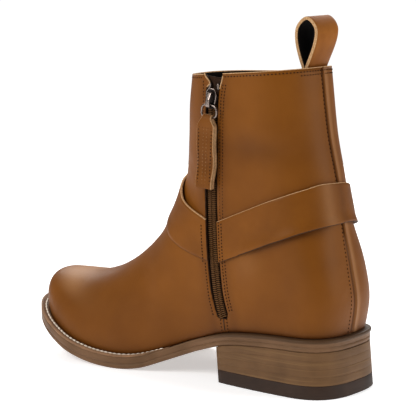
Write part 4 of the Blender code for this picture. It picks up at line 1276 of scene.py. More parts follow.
def midsole_where(u, v, level):
    """Flush with the outsole below. Round the heel seat its upper part rolls out into a lip."""
    lip = np.array([0.0, -0.2, 0.2, 0.9, 1.0, 0.7, 0.1])[level]
    up, inset = layered([
        (0.0, 0.0), (0.25, 0.0), (0.42, 0.0), (0.60, 0.0), (0.78, 0.0), (0.92, 0.00015), (1.0, 0.0006),
    ])

    def out(turn):
        at_seat = blend(0.42, 0.30, (1 - np.cos(turn)) / 2)
        return sole_out(turn) + RAND_LIP * lip * at_seat - inset(level)

    return sole_where(
        u, v, out, lambda along: sole_base(along) + OUTSOLE_THICKNESS + up(level) * MIDSOLE_THICKNESS,
    )


def insole_where(u, v, level):
    """A board inside the upper's foot."""
    return sole_where(
        u, v, lambda turn: np.full_like(turn, -INSOLE_INSET),
        lambda along: feather(along) + CURVE_GAP + level * INSOLE_THICKNESS,
    )


outsole = slab("outsole_layer", 110, 10, 4, outsole_where, [sole_edge])
midsole = slab("midsole_layer", 110, 10, 7, midsole_where, [sole_edge])
insole = slab("insole_board", 80, 8, 2, insole_where, [insole_leather])
spots = np.array([vert.co for vert in midsole.data.vertices])
along = HEEL_MIDDLE - spots[:, 1]
share = (spots[:, 2] - sole_base(along) - OUTSOLE_THICKNESS) / MIDSOLE_THICKNESS
attribute(midsole, "painted_shade_and_tone", 0.8 * blend(0.45, 0.62, share) * blend(0.46, 0.30, along / LAST_LENGTH))
for piece, cad_node, slot_name in (
    (outsole, "outsole", "outsole_rubber"),
    (midsole, "midsole", "midsole_leather"),
    (insole, "insole", "insole_board"),
):
    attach(piece, "boot")
    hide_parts(cad_node)
print("midsole:", len(midsole.data.polygons), "faces")

# %% [markdown]
# ## Welt and its stitches
#
# The welt is a strip of leather round the forefoot that joins upper and sole, with a row of thick cream
# thread in its channel. It could be a swept profile, but it also narrows and thins where it ends at the
# waist. So it is a sheet between the upper's foot and the sole's edge, whose top level has the channel and
# a rounded lip.

# %% Welt
WELT_SHORTER = 0.045
WELT_EDGE_LOSS = 0.0004
CHANNEL_ACROSS = 0.34


def welt_root(along, inner):
    """How far out the welt starts, just clear of the upper's foot."""
    swell = np.where(inner, swell_inner(along / LAST_LENGTH), swell_outer(along / LAST_LENGTH))
    return BALL_WIDTH * swell * rounding(WELT_THICKNESS + FIT_GAP, TUCK_HEIGHT, 2.0) + CURVE_GAP


def welt_place(u, across, up):
    """A point on the welt: u round the toe from the inner waist, across from its root to its edge, and up."""
    start = math.acos(1 - 2 * (WELT_START + WELT_SHORTER))
    turn = start + (2 * np.pi - 2 * start) * u
    fade = blend(0.0, 0.06, np.minimum(u, 1 - u))
    root = welt_root(outline(turn)[..., 0], turn < np.pi)
    out = root + (sole_out(turn) - root) * across * (0.35 + 0.65 * fade)
    at = edge(turn, out)
    return place(at[..., 0], at[..., 1], feather(at[..., 0]) + up * (0.3 + 0.7 * fade))


def welt_where(u, v, level):
    """Its top has a channel for the thread by its root and a rounded lip at its edge."""
    across = (v + 1) / 2
    up = np.array([0.0001, 0.55, 1.0])[level] * (WELT_THICKNESS - WELT_EDGE_LOSS)
    shape = -0.0003 * bump(CHANNEL_ACROSS, 0.16, across) + 0.0004 * bump(0.80, 0.14, across)
    edge_round = -0.0006 * blend(0.86, 1.0, across)
    up = up + np.where(level == 2, shape + edge_round, 0.0)
    return welt_place(u, across, up)


welt = slab("welt_strip", 200, 12, 3, welt_where, [welt_leather])
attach(welt, "boot")
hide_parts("welt")
print("welt:", len(welt.data.polygons), "faces")

# %% Welt stitches
WELT_STITCH_PITCH = 0.0036
WELT_STITCH_SIZE = (0.0041, 0.0016, 0.0014)
line_u = np.linspace(0.012, 0.988, 900)
line = welt_place(line_u, CHANNEL_ACROSS + 0 * line_u, WELT_THICKNESS - WELT_EDGE_LOSS + 0 * line_u)
spots, ways, _ = spaced(line, WELT_STITCH_PITCH)
outs = np.tile([0.0, 0.0, 1.0], (len(spots), 1))
welt_stitches = stitches("welt_stitches", spots, ways, outs, *WELT_STITCH_SIZE, [cream_thread])
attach(welt_stitches, "boot")
print("welt stitches:", len(spots))

# %% [markdown]
# ## Heel
#
# Four leather lifts and a rubber top piece are stacked under the seat, a little wider at the floor, with a
# hollow breast. The heel could be one block with lines painted on, but its layers part slightly at their
# edges. So one function places a point anywhere in the heel, and each layer is a sheet between two
# heights.


# %% Lifts and top piece
LIFT_ROUND = 0.00007


def heel_where(u, v, height_at, inset):
    """A point of the heel: u from its back to its breast and v across."""
    turn = math.acos(1 - 2 * BREAST / LAST_LENGTH) * u
    flat = edge(turn, np.zeros_like(turn))[..., 0]
    down = 1 - height_at(flat) / sole_base(flat)
    out = SEAT_EXTENSION - HEEL_INSET / 3 + HEEL_FLARE * down * (1 - u**2) - inset
    outer_rim, inner_rim = edge(-turn, out), edge(turn, out)
    at = outer_rim + (inner_rim - outer_rim) * ((v + 1) / 2)[..., None]
    back_off = (HEEL_BREAST_HOLLOW * (1 - v * v) + HEEL_UNDERCUT * down + inset) * u**3
    along = at[..., 0] - back_off
    return place(along, at[..., 1], height_at(along))


def lift_height(index, along):
    """The height of a joint between lifts, counted from the top piece."""
    return TOP_PIECE_THICKNESS + (sole_base(along) - TOP_PIECE_THICKNESS) * index / LIFT_COUNT


for index in range(LIFT_COUNT):

    def lift_where(u, v, level, index=index):
        up, inset = layered([(0.0, LIFT_ROUND), (0.05, 0.0), (0.95, 0.0), (0.999, LIFT_ROUND)])
        return heel_where(u, v, lambda along: lift_height(index + up(level), along), inset(level))

    number = LIFT_COUNT - index
    lift = slab(f"stacked_lift_{number}", 40, 16, 4, lift_where, [heel_stack])
    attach(lift, "boot")
    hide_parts(f"heel_lift_{number}")


def top_piece_where(u, v, level):
    """The rubber piece under the lifts, level on the floor."""
    up, inset = layered([(0.0, 0.0005), (0.05, 0.0), (0.96, 0.0), (1.0, 0.0002)])
    thickness = TOP_PIECE_THICKNESS - 0.0001
    return heel_where(u, v, lambda along: up(level) * thickness + 0 * along, inset(level))


top_piece = slab("heel_rubber_piece", 40, 16, 4, top_piece_where, [heel_rubber])
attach(top_piece, "boot")
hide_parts("heel_top_piece")
print("lifts of the heel:", LIFT_COUNT)

# %% [markdown]
# ## Zip tape and coil
#
# Behind the slot lies a woven tape, and on it a nylon coil whose turns lock together from both sides. A
# real coil is a helix, but seen from outside only the rounded crowns of its turns show. So each crown is
# one of the small bars that also make thread, laid across the chain at every pitch, with a few dozen faces
# apiece.

# %% Zip tape
TAPE_DEPTH = UPPER_WALL + CURVE_GAP


def tape_where(u, v, level):
    """The tape, from just below the slot to just below the collar."""
    foot = ZIP_FOOT - 0.01
    rise = foot + (COLLAR_RISE - 0.012 - foot) * u
    return zip_point(rise, -v * TAPE_WIDTH / 2, -TAPE_DEPTH - (1 - level) * TAPE_THICKNESS)


tape = slab("zip_tape_cloth", 90, 12, 2, tape_where, [tape_cloth])
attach(tape, "boot")
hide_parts("zip_tape")
print("zip tape:", len(tape.data.polygons), "faces")

# %% Zip coil
TOOTH_PITCH = 0.0013
TOOTH_REACH = 0.30
TOOTH_SIZE = (CHAIN_WIDTH * 0.78, TOOTH_PITCH * 0.60, 0.0018)
COIL_LIFT = 0.0019


def zip_frame(rise):
    """Axes on the wall by the zip: x towards the heel, y up the zip, z out of the wall."""
    here = zip_point(rise, 0.0, 0.0)
    up = unit(zip_point(rise + 0.03, 0.0, 0.0) - zip_point(rise - 0.03, 0.0, 0.0))
    side = unit(zip_point(rise, 0.003, 0.0) - zip_point(rise, -0.003, 0.0))
    out = unit(np.cross(side, up))
    side = unit(np.cross(up, out))
    turn = Matrix((side.tolist(), up.tolist(), out.tolist())).transposed().to_4x4()
    return Matrix.Translation(here.tolist()) @ turn


def make_teeth():
    """The closed coil: a rounded turn at every pitch, by turns from the left and from the right."""
    rises = np.linspace(ZIP_FOOT + 0.004, SLIDER_RISE - 0.01, 600)
    line = zip_point(rises, -0.0003, -TAPE_DEPTH + COIL_LIFT)
    spots, ways, share = spaced(line, TOOTH_PITCH / 2)
    rise_at = np.interp(share, np.linspace(0, 1, len(rises)), rises)
    sides = zip_point(rise_at, 0.002, 0.0) - zip_point(rise_at, -0.002, 0.0)
    outs = np.cross(unit(sides), unit(ways))
    hand = np.where(np.arange(len(spots)) % 2, 1.0, -1.0)[:, None]
    narrow = np.clip(zip_half_width(rise_at) / (ZIP_SLOT_WIDTH / 2), 0.3, 1.0)[:, None]
    spots = spots + unit(sides) * hand * CHAIN_WIDTH * TOOTH_REACH * narrow
    return stitches("zip_coil", spots, unit(sides), outs, *TOOTH_SIZE, [coil])


teeth = make_teeth()
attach(teeth, "boot")
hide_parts("zip_chain")
print("coil:", len(teeth.data.polygons), "faces")

# %% [markdown]
# ## Stitches beside the zip
#
# Two rows of thread run behind the slot and one in front of it, and they climb over the strap. The thread's
# near black is painted shade in its stitch holes. Rows like these could be a texture, but they catch the
# light. So each thread is a mesh, at an even pitch along a line.

# %% Stitches beside the zip
ZIP_STITCH_PITCH = 0.0021
STRAP_CROSSING = 0.33
ZIP_ROWS = (
    {"name": "zip_stitches_rear_near", "side": 1, "gap": 0.0019},
    {"name": "zip_stitches_rear_far", "side": 1, "gap": 0.0041},
    {"name": "zip_stitches_front", "side": -1, "gap": 0.0030},
)


def zip_row(name, side, gap):
    """Thread along one side of the slot, at a gap from its edge."""
    rises = np.linspace(ZIP_FOOT + 0.02, COLLAR_RISE - 0.03, 500)
    line = zip_point(rises, side * (zip_half_width(rises) + gap), THREAD_LIFT)
    spots, ways, share = spaced(line, ZIP_STITCH_PITCH)
    rise_at = np.interp(share, np.linspace(0, 1, len(rises)), rises)
    over = np.abs(rise_at - STRAP_CROSSING) < HALF_RISE
    sideways = side * (zip_half_width(rise_at) + gap)
    outs = unit(zip_point(rise_at, sideways, 0.003) - zip_point(rise_at, sideways, 0.0))
    spots = spots + outs * (over * (STRAP_WALL + CURVE_GAP))[:, None]
    row = stitches(name, spots, ways, outs, THREAD_LENGTH, THREAD_WIDTH, THREAD_HEIGHT, [thread])
    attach(row, "boot")
    return len(spots)


print("zip stitches:", sum(zip_row(**row) for row in ZIP_ROWS))

# %% [markdown]
# ## Slider
#
# The slider is a cast plate with rounded shoulders and a bridge that holds the ring. It could be cut from
# a box, but it lies on a wall that leans and turns. So it is made in axes of its own, up the zip and out
# of the wall: two thin sheets for its plates, a fine wire for the bright rim, and a strip bent down at
# both ends for the bridge. The ring hangs from the bridge on a hinge, so those axes also hold the pivot.

# %% Axes of the slider
slider_frame = zip_frame(SLIDER_RISE)
CHAIN_TOP = CHAIN_THICKNESS + FIT_GAP - UPPER_WALL - CURVE_GAP
PLATE_LOW = CHAIN_TOP + FIT_GAP
PLATE_TOP = PLATE_LOW + SLIDER_THICKNESS
EYE_LENGTH = BRIDGE_LENGTH - 2 * BRIDGE_WALL
EYE_HEIGHT = BRIDGE_HEIGHT - BRIDGE_WALL
PIVOT_Y = RING_WIRE / 2 + FIT_GAP - EYE_LENGTH / 2
PIVOT_Z = PLATE_TOP + EYE_HEIGHT / 2
pivot = slider_frame @ Matrix.Translation((0.0, PIVOT_Y, PIVOT_Z))


def in_frame(matrix, points):
    """Points given in a frame's axes, as points of the scene."""
    turn = np.array(matrix)[:3, :3]
    return np.asarray(points) @ turn.T + np.array(matrix)[:3, 3]


print("pivot at", [round(value, 4) for value in pivot.translation])

# %% Plates of the slider
PLATE_FOOT = -0.0050
PLATE_LENGTH = SLIDER_LENGTH + 0.0018
TOP_PLATE_THICKNESS = 0.0008
FLANGE_THICKNESS = 0.0006
SHOULDER_ROUND = 0.0046


def plate_half_width(u, width):
    """A plate is wider at its upper end, where the two sides of the zip part."""
    return width / 2 * (0.66 + 0.34 * blend(0.05, 0.75, u))


def slider_plate(name, low, high, length, width, finish):
    """A plate that is wider at its upper end, with rounded shoulders."""

    def where(u, v, level):
        shoulders = rounding((1 - u) * length, SHOULDER_ROUND, 2.0) * rounding(u * length, 0.0016, 2.0)
        half = plate_half_width(u, width) * (0.25 + 0.75 * shoulders)
        up, inset = layered([(0.0, 0.0003), (0.3, 0.0), (0.7, 0.0), (1.0, 0.0003)])
        x = v * (half - inset(level))
        y = PLATE_FOOT + u * length
        z = low + (high - low) * up(level)
        return in_frame(slider_frame, np.stack([x, y, z], -1))

    return slab(name, 30, 8, 4, where, [finish])


slider_top = slider_plate(
    "slider_plate", PLATE_TOP - TOP_PLATE_THICKNESS, PLATE_TOP, PLATE_LENGTH, SLIDER_WIDTH, gunmetal_dark,
)
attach(slider_top, "boot")
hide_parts("zip_slider")
slider_low = slider_plate(
    "slider_flange", PLATE_LOW, PLATE_LOW + FLANGE_THICKNESS, PLATE_LENGTH * 0.9, SLIDER_WIDTH * 0.94,
    gunmetal_dark,
)
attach(slider_low, "boot")
print("slider's plate:", len(slider_top.data.polygons), "faces")

# %% Rim and bridge
RIM_RADIUS = 0.00038
BRIDGE_TOP = 0.0054
BRIDGE_SLOPE = 0.40


def rim_points(count):
    """The line of the bright rim that runs round the plate's shoulders."""
    u = np.r_[np.linspace(0.25, 1.0, count), np.linspace(1.0, 0.25, count)[1:]]
    side = np.r_[np.full(count, -1.0), np.full(count - 1, 1.0)]
    shoulders = rounding((1 - u) * PLATE_LENGTH, SHOULDER_ROUND, 2.0)
    half = plate_half_width(u, SLIDER_WIDTH) * (0.25 + 0.75 * shoulders)
    x = side * half
    y = PLATE_FOOT + u * PLATE_LENGTH
    keep = np.r_[True, np.hypot(np.diff(x), np.diff(y)) > 0.0001]
    return np.stack([x, y, np.full(len(x), PLATE_TOP - 0.0001)], -1)[keep]


slider_out = tuple(np.array(slider_frame)[:3, 2])
rim = tube("slider_rim", in_frame(slider_frame, rim_points(30)), RIM_RADIUS, 8, False, [gunmetal], slider_out)
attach(rim, "boot")


def bridge_where(u, v, level):
    """The bridge: a flat strip that stands off the plate, bent down at both ends."""
    reach = 2 * u - 1
    lift = (1 - np.abs(reach) ** 9) ** (1 / 3)
    out = np.array([0.0, 0.15, 0.85, 1.0])[level]
    inset = np.array([0.0002, 0.0, 0.0, 0.0002])[level]
    middle_y = (BRIDGE_TOP - EYE_LENGTH / 2) / 2
    y = middle_y + reach * ((BRIDGE_TOP + EYE_LENGTH / 2) / 2 + out * BRIDGE_WALL)
    slope = 1 - BRIDGE_SLOPE * blend(-0.1, 0.9, reach)
    z = PLATE_TOP - 0.0003 + lift * slope * (EYE_HEIGHT + 0.0003 + out * BRIDGE_WALL)
    x = v * (BRIDGE_WIDTH / 2 - inset)
    return in_frame(slider_frame, np.stack([x, y, z], -1))


bridge = slab("slider_bridge", 40, 4, 4, bridge_where, [gunmetal])
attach(bridge, "boot")
print("bridge:", len(bridge.data.polygons), "faces")

# %% [markdown]
# ## Ring
#
# A bent wire joins the slider to the leather tab. It could be a torus, but the real one is a rounded
# rectangle. So its path is a circle raised to a power, which squares it, and a wire follows the path. It
# rides the pull.

# %% Ring
RING_DROP = RING_LENGTH - 0.0022
RING_SQUARENESS = 3


def ring_points(count):
    """The middle line of the ring's wire, in the pivot's axes."""
    angle = 2 * np.pi * (np.arange(count) + 0.5) / count
    reach_x, reach_y = (RING_WIDTH - RING_WIRE) / 2, (RING_DROP - RING_WIRE) / 2
    power = RING_SQUARENESS
    squash = (np.abs(np.cos(angle)) ** power + np.abs(np.sin(angle)) ** power) ** (-1 / power)
    x, y = reach_x * np.cos(angle) * squash, reach_y * np.sin(angle) * squash
    return np.stack([x, y - reach_y, 0 * angle], -1)


pull_out = np.array(pivot)[:3, 2]
ring_line = in_frame(pivot, ring_points(72))
ring = tube("ring_wire", ring_line, RING_WIRE / 2, 12, True, [gunmetal], tuple(pull_out))
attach(ring, "zip_pull")
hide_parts("pull_ring")
print("ring:", len(ring.data.polygons), "faces")

# %% [markdown]
# ## Pull tab
#
# The tab is a long strip of calf, folded over the ring's bar and glued to itself, so its edge shows two
# plies with a fine line between them. Two flat strips could be laid together, but they would meet at a
# hard fold. So it is one sheet of seven levels: the middle ones draw in to make the line, and the top
# closes in a round fold. It hangs from the pivot's axes, slightly bowed, as leather does.

# %% Pull tab
BAR_Y = RING_WIRE - RING_DROP
TAB_TOP = BAR_Y + RING_WIRE / 2 + FIT_GAP + 0.0012
TAB_DROP = TAB_LENGTH + 0.0018
TAB_SHIFT = 0.0010
TAB_FOLD_ROUND = 0.0042


def tab_half_width(down):
    """Half the tab's width, narrow at its neck."""
    half = (TAB_NECK_WIDTH + (TAB_WIDTH - TAB_NECK_WIDTH) * blend(0.0010, 0.0080, down)) / 2
    return half * (1 - 0.05 * blend(0.020, TAB_DROP, down))


def tab_where(u, v, level):
    """A point of the tab: u from its fold to its foot and v across."""
    down = TAB_DROP * u**1.15
    half = TAB_THICKNESS / 2 * rounding(down + 0.0001, TAB_FOLD_ROUND, 2.0)
    ply = np.array([-1.0, -0.90, -0.06, 0.0, 0.06, 0.90, 1.0])[level]
    inset = np.array([0.00025, 0.0, 0.0, 0.00016, 0.0, 0.0, 0.00025])[level]
    bow = 0.0005 * np.sin(7 * u) + 0.0003 * np.sin(15 * u)
    sway = 0.0003 * np.sin(11 * u + 0.6)
    x = v * (tab_half_width(down) - inset) + sway - TAB_SHIFT
    return in_frame(pivot, np.stack([x, TAB_TOP - down, ply * half + bow], -1))


tab = slab("pull_tab_leather", 90, 10, 7, tab_where, [strap_leather, raw_edge],
           lambda u, v, level: int(level != int(level)))
attribute(tab, "painted_shade_and_tone", np.full(len(tab.data.vertices), 0.12))
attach(tab, "zip_pull")
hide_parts("pull_tab")
print("pull tab:", len(tab.data.polygons), "faces")

# %% [markdown]
# ## Stitches of the pull tab
#
# One row of thread follows the tab's edge and closes under the neck, near black as painted shade in its
# holes, and two rows paled as painted highlights on their pinholes run down its middle. They could be one
# long curve with a dash pattern, but separate threads keep their round ends when the pull swings. They ride
# the pull, like the tab.

# %% Stitches of the pull tab
TAB_STITCH_PITCH = 0.0023
TAB_STITCH_TOP = 0.0085
TAB_THREAD_WIDTH = 0.0008
TAB_THREAD_INSET = 0.0016
TAB_FACE = TAB_THICKNESS / 2 + 0.0002
TAB_MIDDLE_ROWS = (
    {"name": "tab_stitches_front", "x": -0.0012},
    {"name": "tab_stitches_rear", "x": 0.0014},
)


def tab_line():
    """The thread's path round the tab's face."""
    top, low = TAB_STITCH_TOP, TAB_DROP - 0.0020
    down = np.linspace(top, low, 60)
    half = tab_half_width(down) - TAB_THREAD_INSET
    across = np.linspace(half[0], -half[0], 16)[1:-1]
    foot = np.linspace(-half[-1], half[-1], 16)[1:-1]
    x = np.r_[half[::-1], across, -half, foot]
    y = np.r_[down[::-1], np.full(14, top), down, np.full(14, low)]
    return np.stack([x - TAB_SHIFT, TAB_TOP - y, np.full(len(x), TAB_FACE)], -1)


def middle_line(x):
    """The path of a row down the tab's middle."""
    down = np.linspace(TAB_STITCH_TOP, TAB_DROP - 0.0022, 60)
    return np.stack([np.full(60, x - TAB_SHIFT), TAB_TOP - down, np.full(60, TAB_FACE)], -1)


def tab_row(name, line, length, height, finish):
    """Threads at an even pitch along a line on the tab's face."""
    spots, ways, _ = spaced(line, TAB_STITCH_PITCH)
    placed = in_frame(pivot, spots)
    ways = in_frame(pivot, spots + ways) - placed
    outs = np.tile(pull_out, (len(spots), 1))
    row = stitches(name, placed, ways, outs, length, TAB_THREAD_WIDTH, height, [finish])
    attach(row, "zip_pull")
    return len(spots)


made = tab_row("tab_stitches", tab_line(), 0.0013, 0.0008, thread)
for row in TAB_MIDDLE_ROWS:
    made += tab_row(row["name"], middle_line(row["x"]), 0.0010, 0.0007, highlight_thread)
print("tab stitches:", made)

# %% [markdown]
# ## Stops of the zip
#
# Two small metal stops are pinched over the chain's end, above the slider. They could be bent plates, but
# at this size only their round backs show. So each is a short thick wire, up the zip.

# %% Stops
STOP_RADIUS = 0.0010
STOP_RISE = SLIDER_RISE + 0.055


def make_stops():
    """One stop on each side of the slot."""
    stop = zip_frame(STOP_RISE)
    y = np.linspace(-0.0016, 0.0022, 8)
    z = np.full(8, FIT_GAP + STOP_SIZE * 0.3 - UPPER_WALL - CURVE_GAP + 0.0004)
    for name, side in (("zip_stop_rear", 1), ("zip_stop_front", -1)):
        x = np.full(8, side * (ZIP_SLOT_WIDTH / 2 - STOP_SIZE * 0.55))
        line = in_frame(stop, np.stack([x, y, z], -1))
        out = tuple(np.array(stop)[:3, 2])
        made = tube(f"{name}_wire", line, STOP_RADIUS, 10, False, [gunmetal], out)
        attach(made, "boot")
        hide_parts(name)


make_stops()
print("stops at rise", round(STOP_RISE, 3))

# %% [markdown]
# ## Pull loop
#
# A folded strip of calf, sewn inside the collar at the back, helps to pull the boot on. It could be half a
# torus, but real loops are tall, meet at their foot and open only above the collar. So its middle line is
# a curve in the side view that climbs, bulges and comes down again, and a sheet of six levels follows it,
# with a shallow groove along its raw edge. It hugs the round of the collar at its foot, and reaches
# further on the outer side.

# %% Pull loop
_, collar_back = section_ends(np.array(float(LAST_SECTION)))
LOOP_BASE = float(collar_back[0]) + UPPER_WALL + CURVE_GAP + LOOP_WALL
LOOP_FOOT = float(collar_back[1])
LOOP_REST = (LOOP_WALL + FIT_GAP) / 2
LOOP_FAR_REACH = 0.0034
LOOP_FULLNESS = 0.88
LOOP_PEAK = 0.486


def loop_line(u):
    """The strip's middle line in the side view."""
    side = np.where(u < 0.5, 1.0, -1.0)
    climb = 1 - np.abs(2 * u - 1)
    height = LOOP_TUCK + LOOP_HEIGHT - LOOP_WALL / 2
    up = height * np.sin(climb * np.pi / 2)
    above = np.clip(up - LOOP_TUCK, 0.0, None) / (height - LOOP_TUCK)
    spread = (LOOP_SPREAD - LOOP_WALL) / 2 - LOOP_REST
    bulge = LOOP_FULLNESS * spread * above * (1 - above**2.2) ** 0.6 / LOOP_PEAK
    meet = LOOP_REST * (1 - blend(0.75, 1.0, above))
    return np.stack([-side * (meet + np.maximum(bulge, 0.0)), up - LOOP_TUCK], -1)


def wall_sag(across):
    """How far the collar's round back falls away from its middle."""
    share = np.abs(across) / (COLLAR_WIDTH / 2)
    return SHAFT_ROUND_LENGTH * (1 - (1 - share**SHAFT_POWER) ** (1 / SHAFT_POWER))


def loop_where(u, v, level):
    """A point of the loop: u up one leg and down the other, and v across."""
    u = u + 0.06 * np.sin(4 * np.pi * u) / np.pi
    step = 0.004
    here = loop_line(u)
    way = unit(loop_line(np.minimum(u + step, 1.0)) - loop_line(np.maximum(u - step, 0.0)))
    away = np.stack([way[..., 1], -way[..., 0]], -1)
    up, inset = layered([
        (0.5, 0.0003), (0.38, 0.0), (-0.1, 0.0), (-0.2, 0.0002), (-0.3, 0.0), (-0.5, 0.0003),
    ])
    at = here + away * (up(level) * LOOP_WALL)[..., None]
    across = v * (LOOP_WIDTH / 2 - inset(level)) - LOOP_FAR_REACH * (1 - v) / 2
    sag = wall_sag(across) * blend(LOOP_HEIGHT, 0.0, here[..., 1])
    return place(LOOP_BASE + sag + at[..., 0], across, LOOP_FOOT + at[..., 1])


def loop_paint(u, v, level):
    """Dark inside, tan outside, and raw leather at the edges."""
    if level != int(level):
        return 1
    return 2 if level == 0 else 0


loop = slab("pull_loop_leather", 160, 10, 6, loop_where, [loop_leather, raw_edge, lining], loop_paint)
height = np.array([vert.co.z for vert in loop.data.vertices]) - collar_height(0.03)
# Painted shade: the loop grows darker towards its foot in the collar.
attribute(loop, "painted_shade_and_tone", 0.45 * blend(0.026, 0.0, height))
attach(loop, "boot")
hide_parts("pull_loop")
print("loop:", len(loop.data.polygons), "faces")

# %% [markdown]
# ## Edges of the collar and the slot's mouth
#
# Where calf is cut and turned, a thin pale line of raw edge shows. The cut faces of the wall are there
# already, but they are too narrow to catch the light. So a fine wire follows the collar's rim and each
# edge of the mouth.

# %% Edges of the collar and the mouth
MOUTH_EDGE_RADIUS = 0.00042
COLLAR_EDGE_RADIUS = 0.00034
slot_turn = float(section_at(zip_along(0.97) * LAST_LENGTH, SEAT_HEIGHT + SHAFT_HEIGHT * 0.96)[1])
mouth_rise = np.linspace(COLLAR_RISE - 0.052, COLLAR_RISE - 0.001, 40)
for name, v in (("mouth_edge_rear", -1.0), ("mouth_edge_front", 1.0)):
    spots = slot_where((mouth_rise - ZIP_FOOT) / SLOT_LENGTH, np.full(40, v), 0.5 + 0 * mouth_rise)
    mouth_edge = tube(name, spots, MOUTH_EDGE_RADIUS, 6, False, [raw_edge], (0.0, 1.0, 0.2))
    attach(mouth_edge, "boot")
rim_turn = np.linspace(slot_turn + 0.05, 2 + slot_turn - 0.065, 260)
rim_turn = np.where(rim_turn > 1, rim_turn - 2, rim_turn)
rim_line = skin(float(LAST_SECTION), rim_turn) - skin_normal(float(LAST_SECTION), rim_turn) * 0.0002
collar_rim = tube("collar_rim", rim_line, COLLAR_EDGE_RADIUS, 6, False, [raw_edge])
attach(collar_rim, "boot")
print("the slot's mouth is at turn", round(slot_turn, 3))

# %% [markdown]
# ## Stitches of the collar and the back
#
# A row of thread holds the lining along the collar, a short row crosses the loop's foot, and one runs down
# beside the back seam, all near black as painted shade in their holes. Each could be drawn on the mesh by
# hand, but a row is just a line of sections and turns. So one function walks along such a line and sets a
# thread at every pitch, standing out of the skin.


# %% Stitches of the collar and the back
def skin_row(name, sections, turns, pitch):
    """Threads along a line of the skin."""
    line = skin(sections, turns)
    spots, ways, share = spaced(line, pitch)
    at = np.linspace(0, 1, len(sections))
    ways_out = skin_normal(np.interp(share, at, sections), np.interp(share, at, turns))
    spots = spots + ways_out * THREAD_LIFT
    row = stitches(name, spots, ways, ways_out, THREAD_LENGTH, THREAD_WIDTH, THREAD_HEIGHT, [thread])
    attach(row, "boot")
    return len(spots)


COLLAR_STITCH_PITCH = 0.0024


def collar_row(name, below, start, stop, pitch=COLLAR_STITCH_PITCH):
    """A row at a depth below the collar, from one turn to another through the ridge or the back."""
    turns = np.linspace(start, stop, 300)
    turns_in = np.where(turns > 1, turns - 2, turns)
    rim = skin(float(LAST_SECTION), turns_in)[..., 2]
    return skin_row(name, section_at_height(turns_in, rim - below), turns_in, pitch)


BACK_SEAM_TURN = 0.992
BACK_SEAM_PITCH = 0.0026
count = collar_row("collar_stitches", 0.0020, slot_turn + 0.055, 2 + slot_turn - 0.075)
count += collar_row("loop_stitches", 0.0043, 0.86, 1.14, 0.0022)
seam_rows = np.linspace(HEEL_CORNER + 0.1, LAST_SECTION - 0.1, 400)
count += skin_row("back_seam_stitches", seam_rows, np.full(400, BACK_SEAM_TURN), BACK_SEAM_PITCH)
print("collar and back stitches:", count)

# %% [markdown]
# ## Seam below the zip
#
# The leather is cut right down the inner side, and below the zip a short seam closes it to the sole. It
# could be a groove in the mesh, but it is finer than the upper's grid. So a thin dark wire is the closed
# cut, with a row of thread on each side of it.

# %% Seam below the zip
FOOT_SEAM_RADIUS = 0.00045
FOOT_SEAM_GAP = 0.0026
FOOT_SEAM_TOP = ZIP_FOOT + 0.004
share_down = np.linspace(0.0, 1.0, 120)
foot_rise = ZIP_FOOT * (1 - share_down) + 0.004 - share_down * 0.028
seam_line = zip_point(FOOT_SEAM_TOP - np.linspace(0.0, 0.050, 24), 0.0, 0.0)
foot_seam = tube("foot_seam", seam_line, FOOT_SEAM_RADIUS, 6, False, [inked_and_shaded_edge], (1.0, 0.0, 0.0))
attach(foot_seam, "boot")
for name, sideways in (("foot_seam_rear", FOOT_SEAM_GAP), ("foot_seam_front", -FOOT_SEAM_GAP)):
    line = zip_point(foot_rise, sideways, THREAD_LIFT)
    spots, ways, share = spaced(line, ZIP_STITCH_PITCH)
    outs = zip_point(np.interp(share, share_down, foot_rise), sideways, 0.002) - spots
    row = stitches(name, spots, ways, outs, THREAD_LENGTH, THREAD_WIDTH, THREAD_HEIGHT, [thread])
    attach(row, "boot")
    print(name, len(spots))

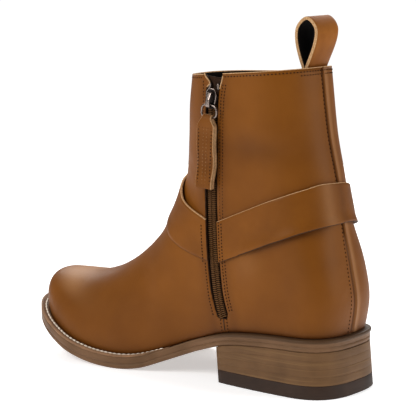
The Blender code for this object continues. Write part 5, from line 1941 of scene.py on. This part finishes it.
# %% [markdown]
# ## Floor and light
#
# The boot stands on a white sweep, where soft light from all round leaves only a faint shadow. One sun
# would be simple, but calf shows its wax in broad soft highlights. So three large softboxes stand round
# the boot: one on the inner side, a wide one beyond the toe, and a weak one behind the heel. The world is
# white to the camera and dimmer as a light, so that the leather keeps its depth.

# %% Floor and light
FLOOR_RADIUS = 1.1
FLOOR_GLOW = 0.5
WORLD_SEEN = 1.05
WORLD_FILL = 0.24
LIGHTS = (
    {"name": "key softbox", "around": 70, "above": 34, "distance": 1.4, "size": (0.6, 0.9), "watts": 13},
    {"name": "back softbox", "around": 306, "above": 38, "distance": 1.5, "size": (1.7, 0.8), "watts": 23},
    {"name": "rear softbox", "around": 205, "above": 22, "distance": 1.4, "size": (0.5, 0.9), "watts": 8},
)


def make_floor():
    build = bmesh.new()
    bmesh.ops.create_circle(build, cap_ends=True, segments=64, radius=FLOOR_RADIUS)
    paper = material("white studio paper", "#F2F2F2", 0.9,
                     Emission_Color=linear("#FFFFFF"), Emission_Strength=FLOOR_GLOW)
    floor = show("studio_floor", to_mesh("studio_floor", build), [paper])


def make_light(name, around, above, distance, size, watts):
    """A white softbox that aims at the boot."""
    data = bpy.data.lights.new(name, "AREA")
    data.shape = "RECTANGLE"
    data.size, data.size_y = size
    data.energy = watts
    put_round(bpy.data.objects.new(name, data), around, above, distance)


def make_world():
    """White where the camera sees it, and dimmer as a light, so that the leather keeps its depth."""
    world = bpy.data.worlds.new("white studio")
    world.use_nodes = True
    tree = world.node_tree
    tree.nodes.clear()
    seen = node(tree, "ShaderNodeBackground", {"Color": linear("#FFFFFF"), "Strength": WORLD_SEEN})
    fill = node(tree, "ShaderNodeBackground", {"Color": linear("#FFFFFF"), "Strength": WORLD_FILL})
    path = node(tree, "ShaderNodeLightPath")
    mixed = node(tree, "ShaderNodeMixShader",
                 {0: path.outputs["Is Camera Ray"], 1: fill.outputs[0], 2: seen.outputs[0]})
    node(tree, "ShaderNodeOutputWorld", {"Surface": mixed.outputs[0]})
    bpy.context.scene.world = world


make_floor()
make_world()
for light in LIGHTS:
    make_light(**light)
bpy.context.scene.view_settings.view_transform = "Standard"
print("lights:", len(bpy.data.lights))
